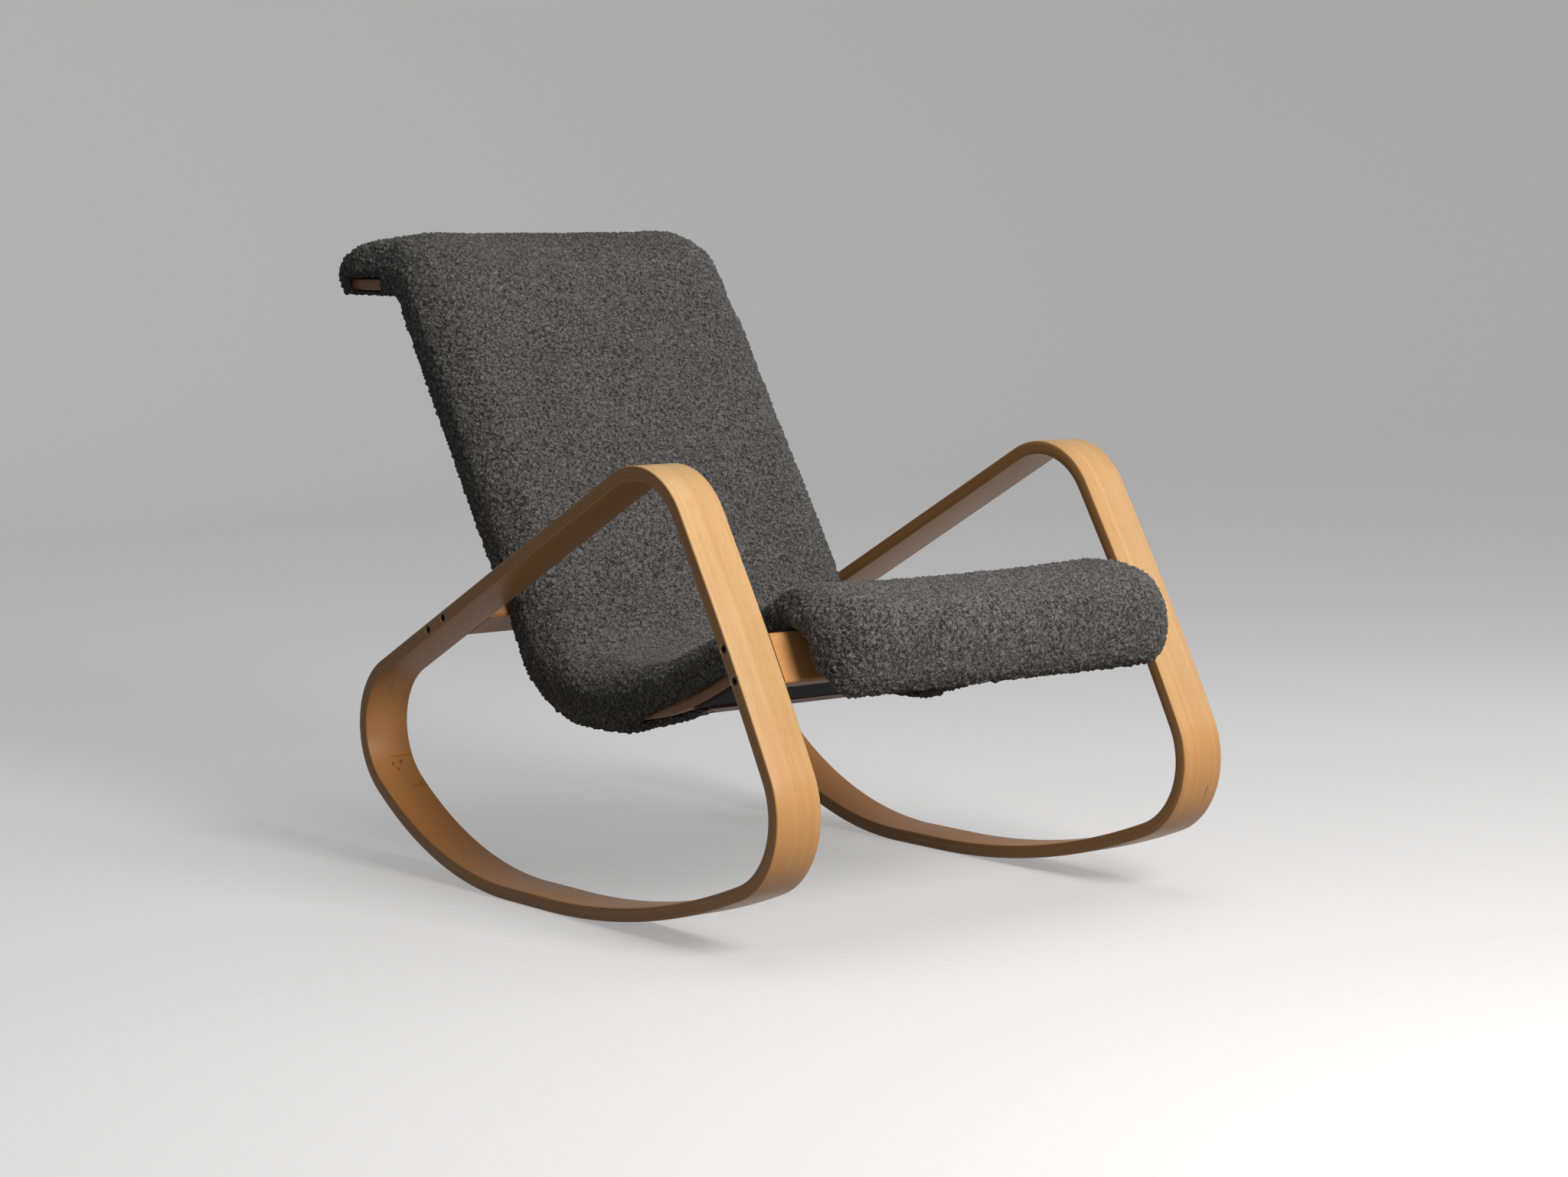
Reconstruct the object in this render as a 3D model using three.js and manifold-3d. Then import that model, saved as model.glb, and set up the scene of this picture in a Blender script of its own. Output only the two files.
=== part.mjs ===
import * as THREE from 'three';
import { mergeVertices } from 'three/addons/utils/BufferGeometryUtils.js';
import Module from 'manifold-3d';

// Bentwood rocking chair, in millimetres, +Z up, facing -Y.
// Two closed laminated loops are legs, arms and rockers at once. Two boards join them and
// carry an upholstered shell on two bent laminated rails. The sitter's right is at -X.
// Every outline is drawn in side view, where x runs to the rear, y runs up and z is the width.

const wasm = await Module();
wasm.setup();

// Clearances and facets
const seatGap = 0.3;
const cutOverrunLength = 2;
const woodFacetHeight = 0.12;
const softFacetHeight = 1.5;
const degrees = Math.PI / 180;

// The chair across its width
const overallWidth = 656;

// Side loops: section of the band, then the bends in the order in which the outside runs
// from the floor to the rear, over the arm and down the leg. Turns are in degrees.
const band = { width: 60, thickness: 16, edgeWidth: 1.5 };
const restFlat = { frontLength: 12, rearLength: 70 };
const rearRockerRadius = 480;
const heel = { radius: 95, turn: 115.9 };
const armBend = { radius: 97, turn: 85.8 };
const legBow = { radius: 3700, turn: 3.9 };
const frontCorner = { radius: 100, turn: 96.6 };
const frontRocker = { radius: 1030, turn: 21.1 };

// Cross rails: boards of the band's thickness that butt against the insides of the loops
const board = { width: 60, edgeRadius: 4 };
const frontRailHeight = 320.5;
const rearRailHeight = 313;

// Socket screws through the loops into threaded inserts in the board ends
const bolt = {
  pitchLength: 37.5, headDiameter: 10, headLength: 6, shankDiameter: 6, length: 84,
  recessDepth: 1.5, socketWidth: 5, socketDepth: 3.5, tipLength: 1,
};
const socketSides = 6;
const insert = { diameter: 10, length: 18, recessDepth: 0.5 };
const boltTipGap = 2;

// Shell rails: bent strips, measured on their lower and rear faces
const shellRail = { width: 45, thickness: 14, sideGap: 36 };
const seatSlope = 25.8;
const backSlope = 57.5;
const seatBendRadius = 500;
const seatFlatLength = 22;
const backBendRadius = 162;
const backLength = 476;
const hookRadius = 30;
const hookLength = 108;

// Slats, webbing and cloths of the shell
const slat = { width: 50, thickness: 8, insetDepth: 5.5 };
const seatSlatOffset = 150;
const lowBackSlatOffset = 62;
const highBackSlatOffset = 330;
const headSlatGap = 6;
const strap = { width: 50, thickness: 2.5, endGap: 6 };
const seatStraps = 4;
const seatStrapOffset = 40;
const seatStrapPitchLength = 68;
const backStraps = 6;
const backStrapOffset = 30;
const backStrapPitchLength = 76;
const clothThickness = 1.5;
const clothBattenOffset = 195;
const clothBatten = { width: 28, thickness: 3.5 };

// Wood screws between the shell rails and the cross rails
const woodScrew = {
  shankDiameter: 4.5, headDiameter: 9, headLength: 2.6, length: 48, pitchLength: 20,
  sinkDepth: 0.6,
};

// Upholstery: a foam pad in a cloth cover, with a crown across the back, a dip in the middle
// of the front roll and a hooked headrest. Its long edges are crisp on the seat and round on
// the back: each kind of edge has its radius, the share of the height where its side wall ends
// and the width by which the wall's foot is drawn in.
const pad = { sideGap: 25, thickness: 43, crownHeight: 4, dipDepth: 9, puffHeight: 8 };
const edges = {
  roll: { radius: 50, wallShare: 0.2, footWidth: 7 },
  seat: { radius: 30, wallShare: 0.5, footWidth: 7 },
  hollow: { radius: 45, wallShare: 0.35, footWidth: 1.5 },
  back: { radius: 60, wallShare: 0.2, footWidth: 1.5 },
  head: { radius: 52, wallShare: 0.25, footWidth: 4 },
};
const crownPlaceShare = 0.45;
const dipBiasShare = 0.75;
const coverThickness = 3.5;
const foamGap = 0.9;
const crest = { leadLength: 7, radius: 75, flatLength: 54 };
const roll = {
  radius: 54, turn: 146, lipLength: 14, lipLean: 10, cornerRadius: 26, liftHeight: 3.3,
};
const headTip = {
  overLength: 33, radius: 60, turn: 65, lipRadius: 22, lipTurn: 40, cornerRadius: 14,
  dropHeight: 13, gap: 0.5,
};

// The cover wraps round the outer sides of the shell rails from the hollow up to the headrest
const wrap = {
  skirtLeadLength: 45, returnLeadLength: 105, thickness: 8, returnWidth: 35, lapHeight: 4,
  stepWidth: 1, notchLength: 14,
};

// Finishes
const finishes = {
  veneer: { color: 0xd8a668, roughness: 0.42, metalness: 0 },
  railVeneer: { color: 0xc79355, roughness: 0.5, metalness: 0 },
  shellWood: { color: 0xb98a58, roughness: 0.6, metalness: 0 },
  slatWood: { color: 0xcaa878, roughness: 0.7, metalness: 0 },
  blackSteel: { color: 0x1b1a19, roughness: 0.45, metalness: 0.8 },
  brass: { color: 0xa98a4a, roughness: 0.4, metalness: 0.9 },
  zinc: { color: 0x9a9a96, roughness: 0.4, metalness: 0.9 },
  curlyCloth: { color: 0x4a4b4d, roughness: 1, metalness: 0 },
  foam: { color: 0xe6dcc0, roughness: 0.95, metalness: 0 },
  webbing: { color: 0x2a2723, roughness: 0.9, metalness: 0 },
  dustCloth: { color: 0x232326, roughness: 0.95, metalness: 0 },
};

// Routes in side view: straight runs { length } and tangent arcs { radius, turn }, where a
// positive turn bends to the left. A station is a point of a route with its heading.

function runLength(run) {
  return run.length ?? run.radius * Math.abs(run.turn) * degrees;
}

function advance(from, run, share) {
  if (run.length !== undefined) {
    const step = run.length * share;
    const x = from.x + step * Math.cos(from.heading);
    const y = from.y + step * Math.sin(from.heading);
    return { x, y, heading: from.heading };
  }
  const bend = Math.sign(run.turn) * run.radius;
  const heading = from.heading + run.turn * degrees * share;
  const x = from.x + bend * (Math.sin(heading) - Math.sin(from.heading));
  const y = from.y - bend * (Math.cos(heading) - Math.cos(from.heading));
  return { x, y, heading };
}

function makeRoute(start, runs) {
  const pieces = [];
  let from = start;
  let begin = 0;
  for (const run of runs) {
    const end = begin + runLength(run);
    pieces.push({ run, from, begin, end });
    from = advance(from, run, 1);
    begin = end;
  }
  return { pieces, length: begin, end: from };
}

function stationAt(route, distance) {
  const piece = route.pieces.find(({ end }) => distance <= end) ?? route.pieces.at(-1);
  return advance(piece.from, piece.run, (distance - piece.begin) / (piece.end - piece.begin));
}

function arcSteps(run, facetHeight) {
  if (run.length !== undefined) return 1;
  const stepAngle = 2 * Math.acos(1 - facetHeight / run.radius);
  return Math.max(1, Math.ceil((Math.abs(run.turn) * degrees) / stepAngle));
}

// Arcs are divided at the same places for every strip, so that neighbours' facets are parallel
function stationsBetween(route, begin, end, facetHeight) {
  const distances = [begin];
  for (const piece of route.pieces) {
    const steps = arcSteps(piece.run, facetHeight);
    for (let i = 1; i <= steps; i += 1) {
      const distance = piece.begin + ((piece.end - piece.begin) * i) / steps;
      if (distance > begin + seatGap && distance < end - seatGap) distances.push(distance);
    }
  }
  distances.push(end);
  return distances.map((distance) => ({ ...stationAt(route, distance), distance }));
}

// The point beside a station, level to the left of the route
function beside(station, level) {
  const x = station.x - level * Math.sin(station.heading);
  const y = station.y + level * Math.cos(station.heading);
  return new THREE.Vector2(x, y);
}

// The point ahead of a station, along its heading
function ahead(station, distance) {
  return advance(station, { length: distance }, 1);
}

// Geometry helpers

function slab(outline, width, edge = 0, holes = []) {
  const shape = new THREE.Shape(outline);
  for (const hole of holes) shape.holes.push(new THREE.Path(hole));
  const geometry = new THREE.ExtrudeGeometry(shape, {
    depth: width - 2 * edge, steps: 1, bevelEnabled: edge > 0,
    bevelThickness: edge, bevelSize: edge, bevelOffset: -edge, bevelSegments: 1,
  });
  return geometry.translate(0, 0, edge - width / 2);
}

// A turned piece whose axis is z; its profile lists [radius, place along z]
function turned(profile, sides) {
  const points = profile.map(([radius, place]) => new THREE.Vector2(radius, place));
  return new THREE.LatheGeometry(points, sides).rotateX(Math.PI / 2);
}

function roundRod(diameter, from, to, sides) {
  const radius = diameter / 2;
  return turned([[0, from], [radius, from], [radius, to], [0, to]], sides);
}

function toSolid(geometry) {
  const bare = geometry.clone();
  bare.deleteAttribute('normal');
  bare.deleteAttribute('uv');
  const merged = mergeVertices(bare);
  return new wasm.Manifold(new wasm.Mesh({
    numProp: 3,
    vertProperties: Float32Array.from(merged.attributes.position.array),
    triVerts: Uint32Array.from(merged.index.array),
  }));
}

function toGeometry(solid) {
  const mesh = solid.getMesh();
  const geometry = new THREE.BufferGeometry();
  geometry.setAttribute('position', new THREE.BufferAttribute(mesh.vertProperties, 3));
  geometry.setIndex(new THREE.BufferAttribute(mesh.triVerts, 1));
  return geometry;
}

function cut(geometry, cutters) {
  let solid = toSolid(geometry);
  for (const cutter of cutters) solid = solid.subtract(toSolid(cutter));
  return toGeometry(solid);
}

// Everything drawn in side view hangs in this group, which turns x, y, z to Y, Z, X
const sideView = new THREE.Group();
sideView.rotation.set(Math.PI / 2, Math.PI / 2, 0);

function addPiece(name, geometry, finish, place = {}) {
  const mesh = new THREE.Mesh(geometry, new THREE.MeshStandardMaterial(finishes[finish]));
  mesh.name = name;
  mesh.position.set(place.x ?? 0, place.y ?? 0, place.z ?? 0);
  if (place.rotation) mesh.setRotationFromQuaternion(place.rotation);
  sideView.add(mesh);
  return mesh;
}

const sides = [{ name: 'right', sign: -1 }, { name: 'left', sign: 1 }];
const innerFace = overallWidth / 2 - band.width;
const railOuterFace = innerFace - shellRail.sideGap;
const railInnerFace = railOuterFace - shellRail.width;
const padHalfWidth = innerFace - pad.sideGap;

// Side loops

// The two straight runs, arm and leg, take the lengths that close the loop.
function makeLoopRoute() {
  const bends = [heel, armBend, legBow, frontCorner, frontRocker];
  const turn = bends.reduce((left, bend) => left - bend.turn, 360);
  const armRun = { length: 0 };
  const legRun = { length: 0 };
  const runs = [
    { radius: rearRockerRadius, turn }, heel, armRun, armBend, legRun, legBow, frontCorner,
    frontRocker, { length: restFlat.frontLength + restFlat.rearLength },
  ];
  const start = { x: restFlat.rearLength, y: 0, heading: 0 };
  const open = makeRoute(start, runs);
  const arm = open.pieces[runs.indexOf(armRun)].from.heading;
  const leg = open.pieces[runs.indexOf(legRun)].from.heading;
  const missX = start.x - open.end.x;
  const missY = start.y - open.end.y;
  const spread = Math.sin(leg - arm);
  armRun.length = (missX * Math.sin(leg) - missY * Math.cos(leg)) / spread;
  legRun.length = (missY * Math.cos(arm) - missX * Math.sin(arm)) / spread;
  return makeRoute(start, runs);
}

const loopRoute = makeLoopRoute();

// The station on the band's middle line at a height, on the side that rises or falls
function bandStation(height, rising) {
  const list = stationsBetween(loopRoute, 0, loopRoute.length, woodFacetHeight);
  for (let i = 1; i < list.length; i += 1) {
    const a = beside(list[i - 1], band.thickness / 2);
    const b = beside(list[i], band.thickness / 2);
    const share = (height - a.y) / (b.y - a.y);
    const crossed = share >= 0 && share <= 1 && (rising ? b.y > a.y : b.y < a.y);
    if (crossed && height > heel.radius) {
      const point = a.lerp(b, share);
      const heading = THREE.MathUtils.lerp(list[i - 1].heading, list[i].heading, share);
      return { x: point.x, y: point.y, heading };
    }
  }
  throw new Error('no band at this height');
}

function armStation(height) {
  const [, , arm] = loopRoute.pieces;
  const from = beside(arm.from, band.thickness / 2);
  const step = (height - from.y) / Math.sin(arm.from.heading);
  return ahead({ x: from.x, y: from.y, heading: arm.from.heading }, step);
}

const frontRail = bandStation(frontRailHeight, false);
const rearRail = armStation(rearRailHeight);
const railPlaces = [{ name: 'front', station: frontRail }, { name: 'rear', station: rearRail }];
const boltSpots = [{ name: 'upper', sign: 1 }, { name: 'lower', sign: -1 }];

// Headings run down the leg and up the arm, so the upper screw lies on different sides
function boltPoint(rail, spot) {
  const climb = Math.sign(Math.sin(rail.station.heading));
  return ahead(rail.station, (spot.sign * climb * bolt.pitchLength) / 2);
}

function addLoops() {
  const closed = stationsBetween(loopRoute, 0, loopRoute.length, woodFacetHeight).slice(0, -1);
  const outside = closed.map((station) => beside(station, 0));
  const inside = closed.map((station) => beside(station, band.thickness));
  const ring = slab(outside, band.width, band.edgeWidth, [inside]);
  const outerFace = band.width / 2;
  const headFloor = outerFace - bolt.recessDepth - bolt.headLength - seatGap;
  const clear = 2 * seatGap;
  for (const side of sides) {
    const cutters = [];
    for (const rail of railPlaces) {
      for (const spot of boltSpots) {
        const { x, y } = boltPoint(rail, spot);
        const shank = roundRod(bolt.shankDiameter + clear, -outerFace - cutOverrunLength,
          outerFace + cutOverrunLength, 16);
        const head = roundRod(bolt.headDiameter + clear, headFloor,
          outerFace + cutOverrunLength, 20);
        for (const cutter of [shank, head]) {
          if (side.sign < 0) cutter.rotateX(Math.PI);
          cutters.push(cutter.translate(x, y, 0));
        }
      }
    }
    const z = side.sign * (overallWidth / 2 - outerFace);
    addPiece(`${side.name}_loop`, cut(ring, cutters), 'veneer', { z });
  }
}

// Cross rails

function roundedRectangle(width, height, radius, steps) {
  const points = [];
  const corners = [[1, 1], [-1, 1], [-1, -1], [1, -1]];
  for (const [corner, [signX, signY]] of corners.entries()) {
    for (let i = 0; i <= steps; i += 1) {
      const angle = (corner + i / steps) * (Math.PI / 2);
      const x = signX * (width / 2 - radius) + radius * Math.cos(angle);
      const y = signY * (height / 2 - radius) + radius * Math.sin(angle);
      points.push(new THREE.Vector2(x, y));
    }
  }
  return points;
}

function turnedBy(axis, angle) {
  return new THREE.Quaternion().setFromAxisAngle(axis, angle);
}

const acrossAxis = new THREE.Vector3(0, 0, 1);
const upAxis = new THREE.Vector3(0, 1, 0);

// How deep a bolt reaches past the inner face of its loop
const boltReach = bolt.length + bolt.recessDepth - band.width;

function boardGeometry(extraCutters) {
  const length = 2 * (innerFace - seatGap);
  const outline = roundedRectangle(board.width, band.thickness, board.edgeRadius, 4);
  const blank = slab(outline, length);
  const cutters = [...extraCutters];
  const clear = 2 * seatGap;
  for (const end of sides) {
    for (const spot of boltSpots) {
      const seatDepth = insert.recessDepth + insert.length + seatGap;
      const seat = roundRod(insert.diameter + clear, length / 2 - seatDepth,
        length / 2 + cutOverrunLength, 16);
      const tip = roundRod(bolt.shankDiameter + clear, length / 2 - boltReach - boltTipGap,
        length / 2, 16);
      for (const cutter of [seat, tip]) {
        if (end.sign < 0) cutter.rotateX(Math.PI);
        cutters.push(cutter.translate((spot.sign * bolt.pitchLength) / 2, 0, 0));
      }
    }
  }
  return cut(blank, cutters);
}

// Fasteners

// Socket screw with its head's outer face at z = 0 and its shank running to -z
function boltGeometry() {
  const head = bolt.headDiameter / 2;
  const shank = bolt.shankDiameter / 2;
  const body = turned([
    [0, -bolt.length], [shank - bolt.tipLength, -bolt.length],
    [shank, -bolt.length + bolt.tipLength], [shank, -bolt.headLength],
    [head, -bolt.headLength], [head, 0], [0, 0],
  ], 16);
  const socketRadius = bolt.socketWidth / (2 * Math.cos(Math.PI / socketSides));
  const socket = turned([
    [0, -bolt.socketDepth], [socketRadius, -bolt.socketDepth],
    [socketRadius, cutOverrunLength], [0, cutOverrunLength],
  ], socketSides);
  return cut(body, [socket]);
}

// Threaded sleeve with its outer end at z = 0
function insertGeometry() {
  const bore = bolt.shankDiameter / 2 + seatGap;
  const outer = insert.diameter / 2;
  const ring = [
    [bore, -insert.length], [outer, -insert.length], [outer, 0], [bore, 0],
    [bore, -insert.length],
  ];
  return turned(ring, 16);
}

function addBolts() {
  for (const rail of railPlaces) {
    for (const side of sides) {
      const rotation = turnedBy(upAxis, side.sign < 0 ? Math.PI : 0);
      for (const spot of boltSpots) {
        const { x, y } = boltPoint(rail, spot);
        const name = `${rail.name}_${side.name}_${spot.name}`;
        const headZ = side.sign * (overallWidth / 2 - bolt.recessDepth);
        addPiece(`${name}_bolt`, boltGeometry(), 'blackSteel', { x, y, z: headZ, rotation });
        const insertZ = side.sign * (innerFace - seatGap - insert.recessDepth);
        addPiece(`${name}_insert`, insertGeometry(), 'brass', { x, y, z: insertZ, rotation });
      }
    }
  }
}

// Countersunk wood screw along -z, head face at z = 0; grown by a clearance it cuts its hole
function woodScrewGeometry(grow, overrun) {
  const head = woodScrew.headDiameter / 2 + grow;
  const shank = woodScrew.shankDiameter / 2 + grow;
  const taperEnd = -woodScrew.headLength - grow;
  const point = -woodScrew.length - grow;
  const pointLength = 2 * shank;
  const profile = [[0, point], [shank, point + pointLength], [shank, taperEnd], [head, 0]];
  if (overrun > 0) profile.push([head, overrun]);
  profile.push([0, overrun]);
  return turned(profile, 12);
}

// Turns +z to a direction in side view
function facing(angle) {
  const direction = new THREE.Vector3(Math.cos(angle), Math.sin(angle), 0);
  return new THREE.Quaternion().setFromUnitVectors(acrossAxis, direction);
}

// Shell route, on the lower and rear faces of the shell rails, from the front rail to the tip

const boardHalf = band.thickness / 2;
const legHeading = frontRail.heading;

// The upper face of the shell rails is flush with the top of the front rail's back face
function makeShellRoute() {
  const top = ahead(frontRail, -board.width / 2);
  const topBack = beside(top, boardHalf + seatGap);
  const heading = -seatSlope * degrees;
  const skew = Math.cos(legHeading - heading - Math.PI / 2);
  const fall = shellRail.thickness / Math.abs(skew);
  const start = {
    x: topBack.x + fall * Math.cos(legHeading),
    y: topBack.y + fall * Math.sin(legHeading),
    heading,
  };
  const bends = [
    { radius: seatBendRadius, turn: seatSlope }, { length: seatFlatLength },
    { radius: backBendRadius, turn: backSlope },
  ];
  const afterBends = makeRoute(start, bends).end;
  // The rear rail's rounded front edge touches the back of the shell rails
  const back = afterBends.heading;
  const across = Math.abs(Math.sin(rearRail.heading - back));
  const along = Math.abs(Math.cos(rearRail.heading - back));
  const reach = (board.width / 2 - board.edgeRadius) * across
    + (boardHalf - board.edgeRadius) * along + board.edgeRadius + seatGap;
  const offX = rearRail.x - afterBends.x;
  const offY = rearRail.y - afterBends.y;
  const behind = offX * Math.sin(back) - offY * Math.cos(back);
  const gainPerRun = Math.sin(back - heading);
  const seatRun = (behind - reach) / gainPerRun;
  const runs = [
    { length: seatRun }, ...bends, { length: backLength },
    { radius: hookRadius, turn: -backSlope }, { length: hookLength },
  ];
  return makeRoute(start, runs);
}

const shellRoute = makeShellRoute();
const [seatRunPiece, seatBendPiece, , backBendPiece, backPiece, , hookPiece] = shellRoute.pieces;

// Where the rear rail meets the back run
const rearContact = backPiece.begin
  + (rearRail.x - backPiece.from.x) * Math.cos(backPiece.from.heading)
  + (rearRail.y - backPiece.from.y) * Math.sin(backPiece.from.heading);

// The point where a line through a point meets the front rail's back face
function onFrontRail(point, heading) {
  const face = beside(frontRail, boardHalf + seatGap);
  const offX = face.x - point.x;
  const offY = face.y - point.y;
  const run = (offX * Math.sin(legHeading) - offY * Math.cos(legHeading))
    / Math.sin(legHeading - heading);
  return new THREE.Vector2(point.x + run * Math.cos(heading), point.y + run * Math.sin(heading));
}

// A strip of the shell between two distances along it and two levels above its lower face
function stripOutline(begin, end, low, high) {
  const list = stationsBetween(shellRoute, begin, end, woodFacetHeight);
  const lower = list.map((station) => beside(station, low));
  const upper = list.map((station) => beside(station, high));
  if (begin === 0) {
    lower[0] = onFrontRail(lower[0], list[0].heading);
    upper[0] = onFrontRail(upper[0], list[0].heading);
  }
  return [...lower, ...upper.reverse()];
}

// The screws that hold the shell: their heads, directions and holes
function shellScrews() {
  const half = shellRail.thickness / 2;
  const railEnd = onFrontRail(beside(seatRunPiece.from, half), seatRunPiece.from.heading);
  const inward = legHeading + Math.PI / 2;
  const boardDepth = band.thickness + seatGap - woodScrew.sinkDepth;
  const front = {
    x: railEnd.x - boardDepth * Math.cos(inward),
    y: railEnd.y - boardDepth * Math.sin(inward),
    heading: inward,
  };
  const contact = stationAt(shellRoute, rearContact);
  const headPoint = beside(contact, shellRail.thickness - woodScrew.sinkDepth);
  const rear = { x: headPoint.x, y: headPoint.y, heading: contact.heading - Math.PI / 2 };
  return [{ name: 'front', station: front }, { name: 'rear', station: rear }];
}

function screwPlaces() {
  const middle = (railOuterFace + railInnerFace) / 2;
  const places = [];
  for (const set of shellScrews()) {
    const rotation = facing(set.station.heading + Math.PI);
    for (const side of sides) {
      for (const [index, sign] of [-1, 1].entries()) {
        const z = side.sign * middle + (sign * woodScrew.pitchLength) / 2;
        const name = `shell_screw_${set.name}_${side.name}_${index + 1}`;
        places.push({ name, set: set.name, side, x: set.station.x, y: set.station.y, z, rotation });
      }
    }
  }
  return places;
}

const screws = screwPlaces();

// A screw's hole, placed where the screw is, seen from a piece at (x, y, z) turned by an angle
function screwHole(screw, origin, angle) {
  const hole = woodScrewGeometry(seatGap, cutOverrunLength);
  hole.applyQuaternion(screw.rotation);
  hole.translate(screw.x - origin.x, screw.y - origin.y, screw.z - origin.z);
  return hole.rotateZ(-angle);
}

function addBoards() {
  for (const rail of railPlaces) {
    const { x, y, heading } = rail.station;
    const holes = screws.filter(({ set }) => set === rail.name)
      .map((screw) => screwHole(screw, { x, y, z: 0 }, heading));
    const rotation = turnedBy(acrossAxis, heading);
    addPiece(`${rail.name}_cross_rail`, boardGeometry(holes), 'railVeneer', { x, y, rotation });
  }
}

function addShellRails() {
  const outline = stripOutline(0, shellRoute.length, 0, shellRail.thickness);
  const blank = slab(outline, shellRail.width, band.edgeWidth);
  for (const side of sides) {
    const z = (side.sign * (railOuterFace + railInnerFace)) / 2;
    const holes = screws.filter((screw) => screw.side === side)
      .map((screw) => screwHole(screw, { x: 0, y: 0, z }, 0));
    addPiece(`${side.name}_shell_rail`, cut(blank, holes), 'shellWood', { z });
  }
  for (const screw of screws) addPiece(screw.name, woodScrewGeometry(0, 0), 'zinc', screw);
}

function addStrip(name, begin, length, low, high, width, finish) {
  addPiece(name, slab(stripOutline(begin, begin + length, low, high), width), finish);
}

function addSlats() {
  const length = 2 * (railInnerFace - seatGap);
  const low = slat.insetDepth;
  const high = slat.insetDepth + slat.thickness;
  const places = {
    seat_slat: seatSlatOffset,
    low_back_slat: backPiece.begin + lowBackSlatOffset,
    high_back_slat: backPiece.begin + highBackSlatOffset,
    head_slat: shellRoute.length - slat.width - headSlatGap,
  };
  for (const [name, place] of Object.entries(places)) {
    addStrip(name, place, slat.width, low, high, length, 'slatWood');
  }
}

function addStraps() {
  const low = shellRail.thickness + seatGap;
  const high = low + strap.thickness;
  const width = 2 * (railOuterFace - strap.endGap);
  for (let i = 0; i < seatStraps; i += 1) {
    const begin = seatStrapOffset + i * seatStrapPitchLength;
    addStrip(`seat_strap_${i + 1}`, begin, strap.width, low, high, width, 'webbing');
  }
  for (let i = 0; i < backStraps; i += 1) {
    const begin = backBendPiece.end + backStrapOffset + i * backStrapPitchLength;
    addStrip(`back_strap_${i + 1}`, begin, strap.width, low, high, width, 'webbing');
  }
}

// Cloths lie between the shell rails, under the slats, and a batten holds the lower one up
function addCloths() {
  const high = slat.insetDepth - seatGap;
  const low = high - clothThickness;
  const width = 2 * (railInnerFace - seatGap);
  const { notchLength } = wrap;
  addStrip('underseat_cloth', 0, rearContact - notchLength, low, high, width, 'dustCloth');
  const begin = rearContact + notchLength;
  const backRun = backPiece.end - begin;
  addStrip('back_lining', begin, backRun, low, high, width, 'dustCloth');
  const battenHigh = low - seatGap;
  addStrip('cloth_batten', clothBattenOffset, clothBatten.width,
    battenHigh - clothBatten.thickness, battenHigh, width, 'slatWood');
}

// Upholstery

const padLow = shellRail.thickness + seatGap + strap.thickness + seatGap;
const padHigh = padLow + pad.thickness;

// The outer line of the front roll, from the crest round to its lip
function makeRollRoute() {
  const seat = seatRunPiece.from;
  const from = beside(seat, padHigh);
  const start = { x: from.x, y: from.y, heading: seat.heading + Math.PI };
  return makeRoute(start, [
    { length: crest.leadLength }, { radius: crest.radius, turn: seatSlope },
    { length: crest.flatLength }, { radius: roll.radius, turn: roll.turn },
  ]);
}

function mixEdges(from, to, share) {
  const mix = (key) => THREE.MathUtils.lerp(from[key], to[key], share);
  return { radius: mix('radius'), wallShare: mix('wallShare'), footWidth: mix('footWidth') };
}

// The edge at a distance along the shell: seat, hollow, back and headrest blend into each other
function edgeAt(distance) {
  const knots = [
    { place: seatBendPiece.begin, edge: edges.seat },
    { place: seatBendPiece.end - wrap.skirtLeadLength, edge: edges.hollow },
    { place: backPiece.begin, edge: edges.back },
    { place: backPiece.end - edges.back.radius, edge: edges.back },
    { place: hookPiece.begin, edge: edges.head },
  ];
  const next = knots.findIndex(({ place }) => distance < place);
  if (next === 0) return knots[0].edge;
  if (next < 0) return knots.at(-1).edge;
  const from = knots[next - 1];
  const to = knots[next];
  return mixEdges(from.edge, to.edge, (distance - from.place) / (to.place - from.place));
}

// Stations of the pad, each with the point on its inner face, the point on its outer face,
// its half width, its swell and its edge. The ends of the cavity and of the foam stop short by
// an inset; all other stations are common, so that the layers stay parallel.
function distancesTo(route, inset) {
  const common = route.length - coverThickness - foamGap;
  const list = stationsBetween(route, 0, common, softFacetHeight);
  const end = route.length - inset;
  if (end > common + foamGap / 2) list.push({ ...stationAt(route, end), distance: end });
  return list;
}

function rollStations(inset) {
  const route = makeRollRoute();
  const rollPiece = route.pieces.at(-1);
  // The inner face runs from the seat over the front rail, then straight down to the lip
  const seatFoot = beside(seatRunPiece.from, padLow);
  const overRail = beside(ahead(frontRail, -board.width / 2 - roll.liftHeight), -boardHalf);
  const lean = { ...route.end, heading: route.end.heading + roll.lipLean * degrees };
  const innerLip = beside(ahead(lean, roll.lipLength), 0);
  const list = [];
  for (const station of distancesTo(route, inset).slice(1)) {
    const along = station.distance;
    const overShare = Math.min(along / rollPiece.begin, 1);
    const downShare = Math.max(along - rollPiece.begin, 0) / runLength(rollPiece.run);
    const narrowing = roll.cornerRadius * (1 - Math.sqrt(1 - downShare ** 4));
    const dip = pad.dipDepth * Math.sin(Math.PI * (along / route.length) ** dipBiasShare);
    list.push({
      inner: overShare < 1
        ? seatFoot.clone().lerp(overRail, overShare)
        : overRail.clone().lerp(innerLip, downShare),
      outer: beside(station, 0), halfWidth: padHalfWidth - narrowing, swell: -dip,
      edge: mixEdges(edges.seat, edges.roll, overShare),
    });
  }
  return list.reverse();
}

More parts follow.
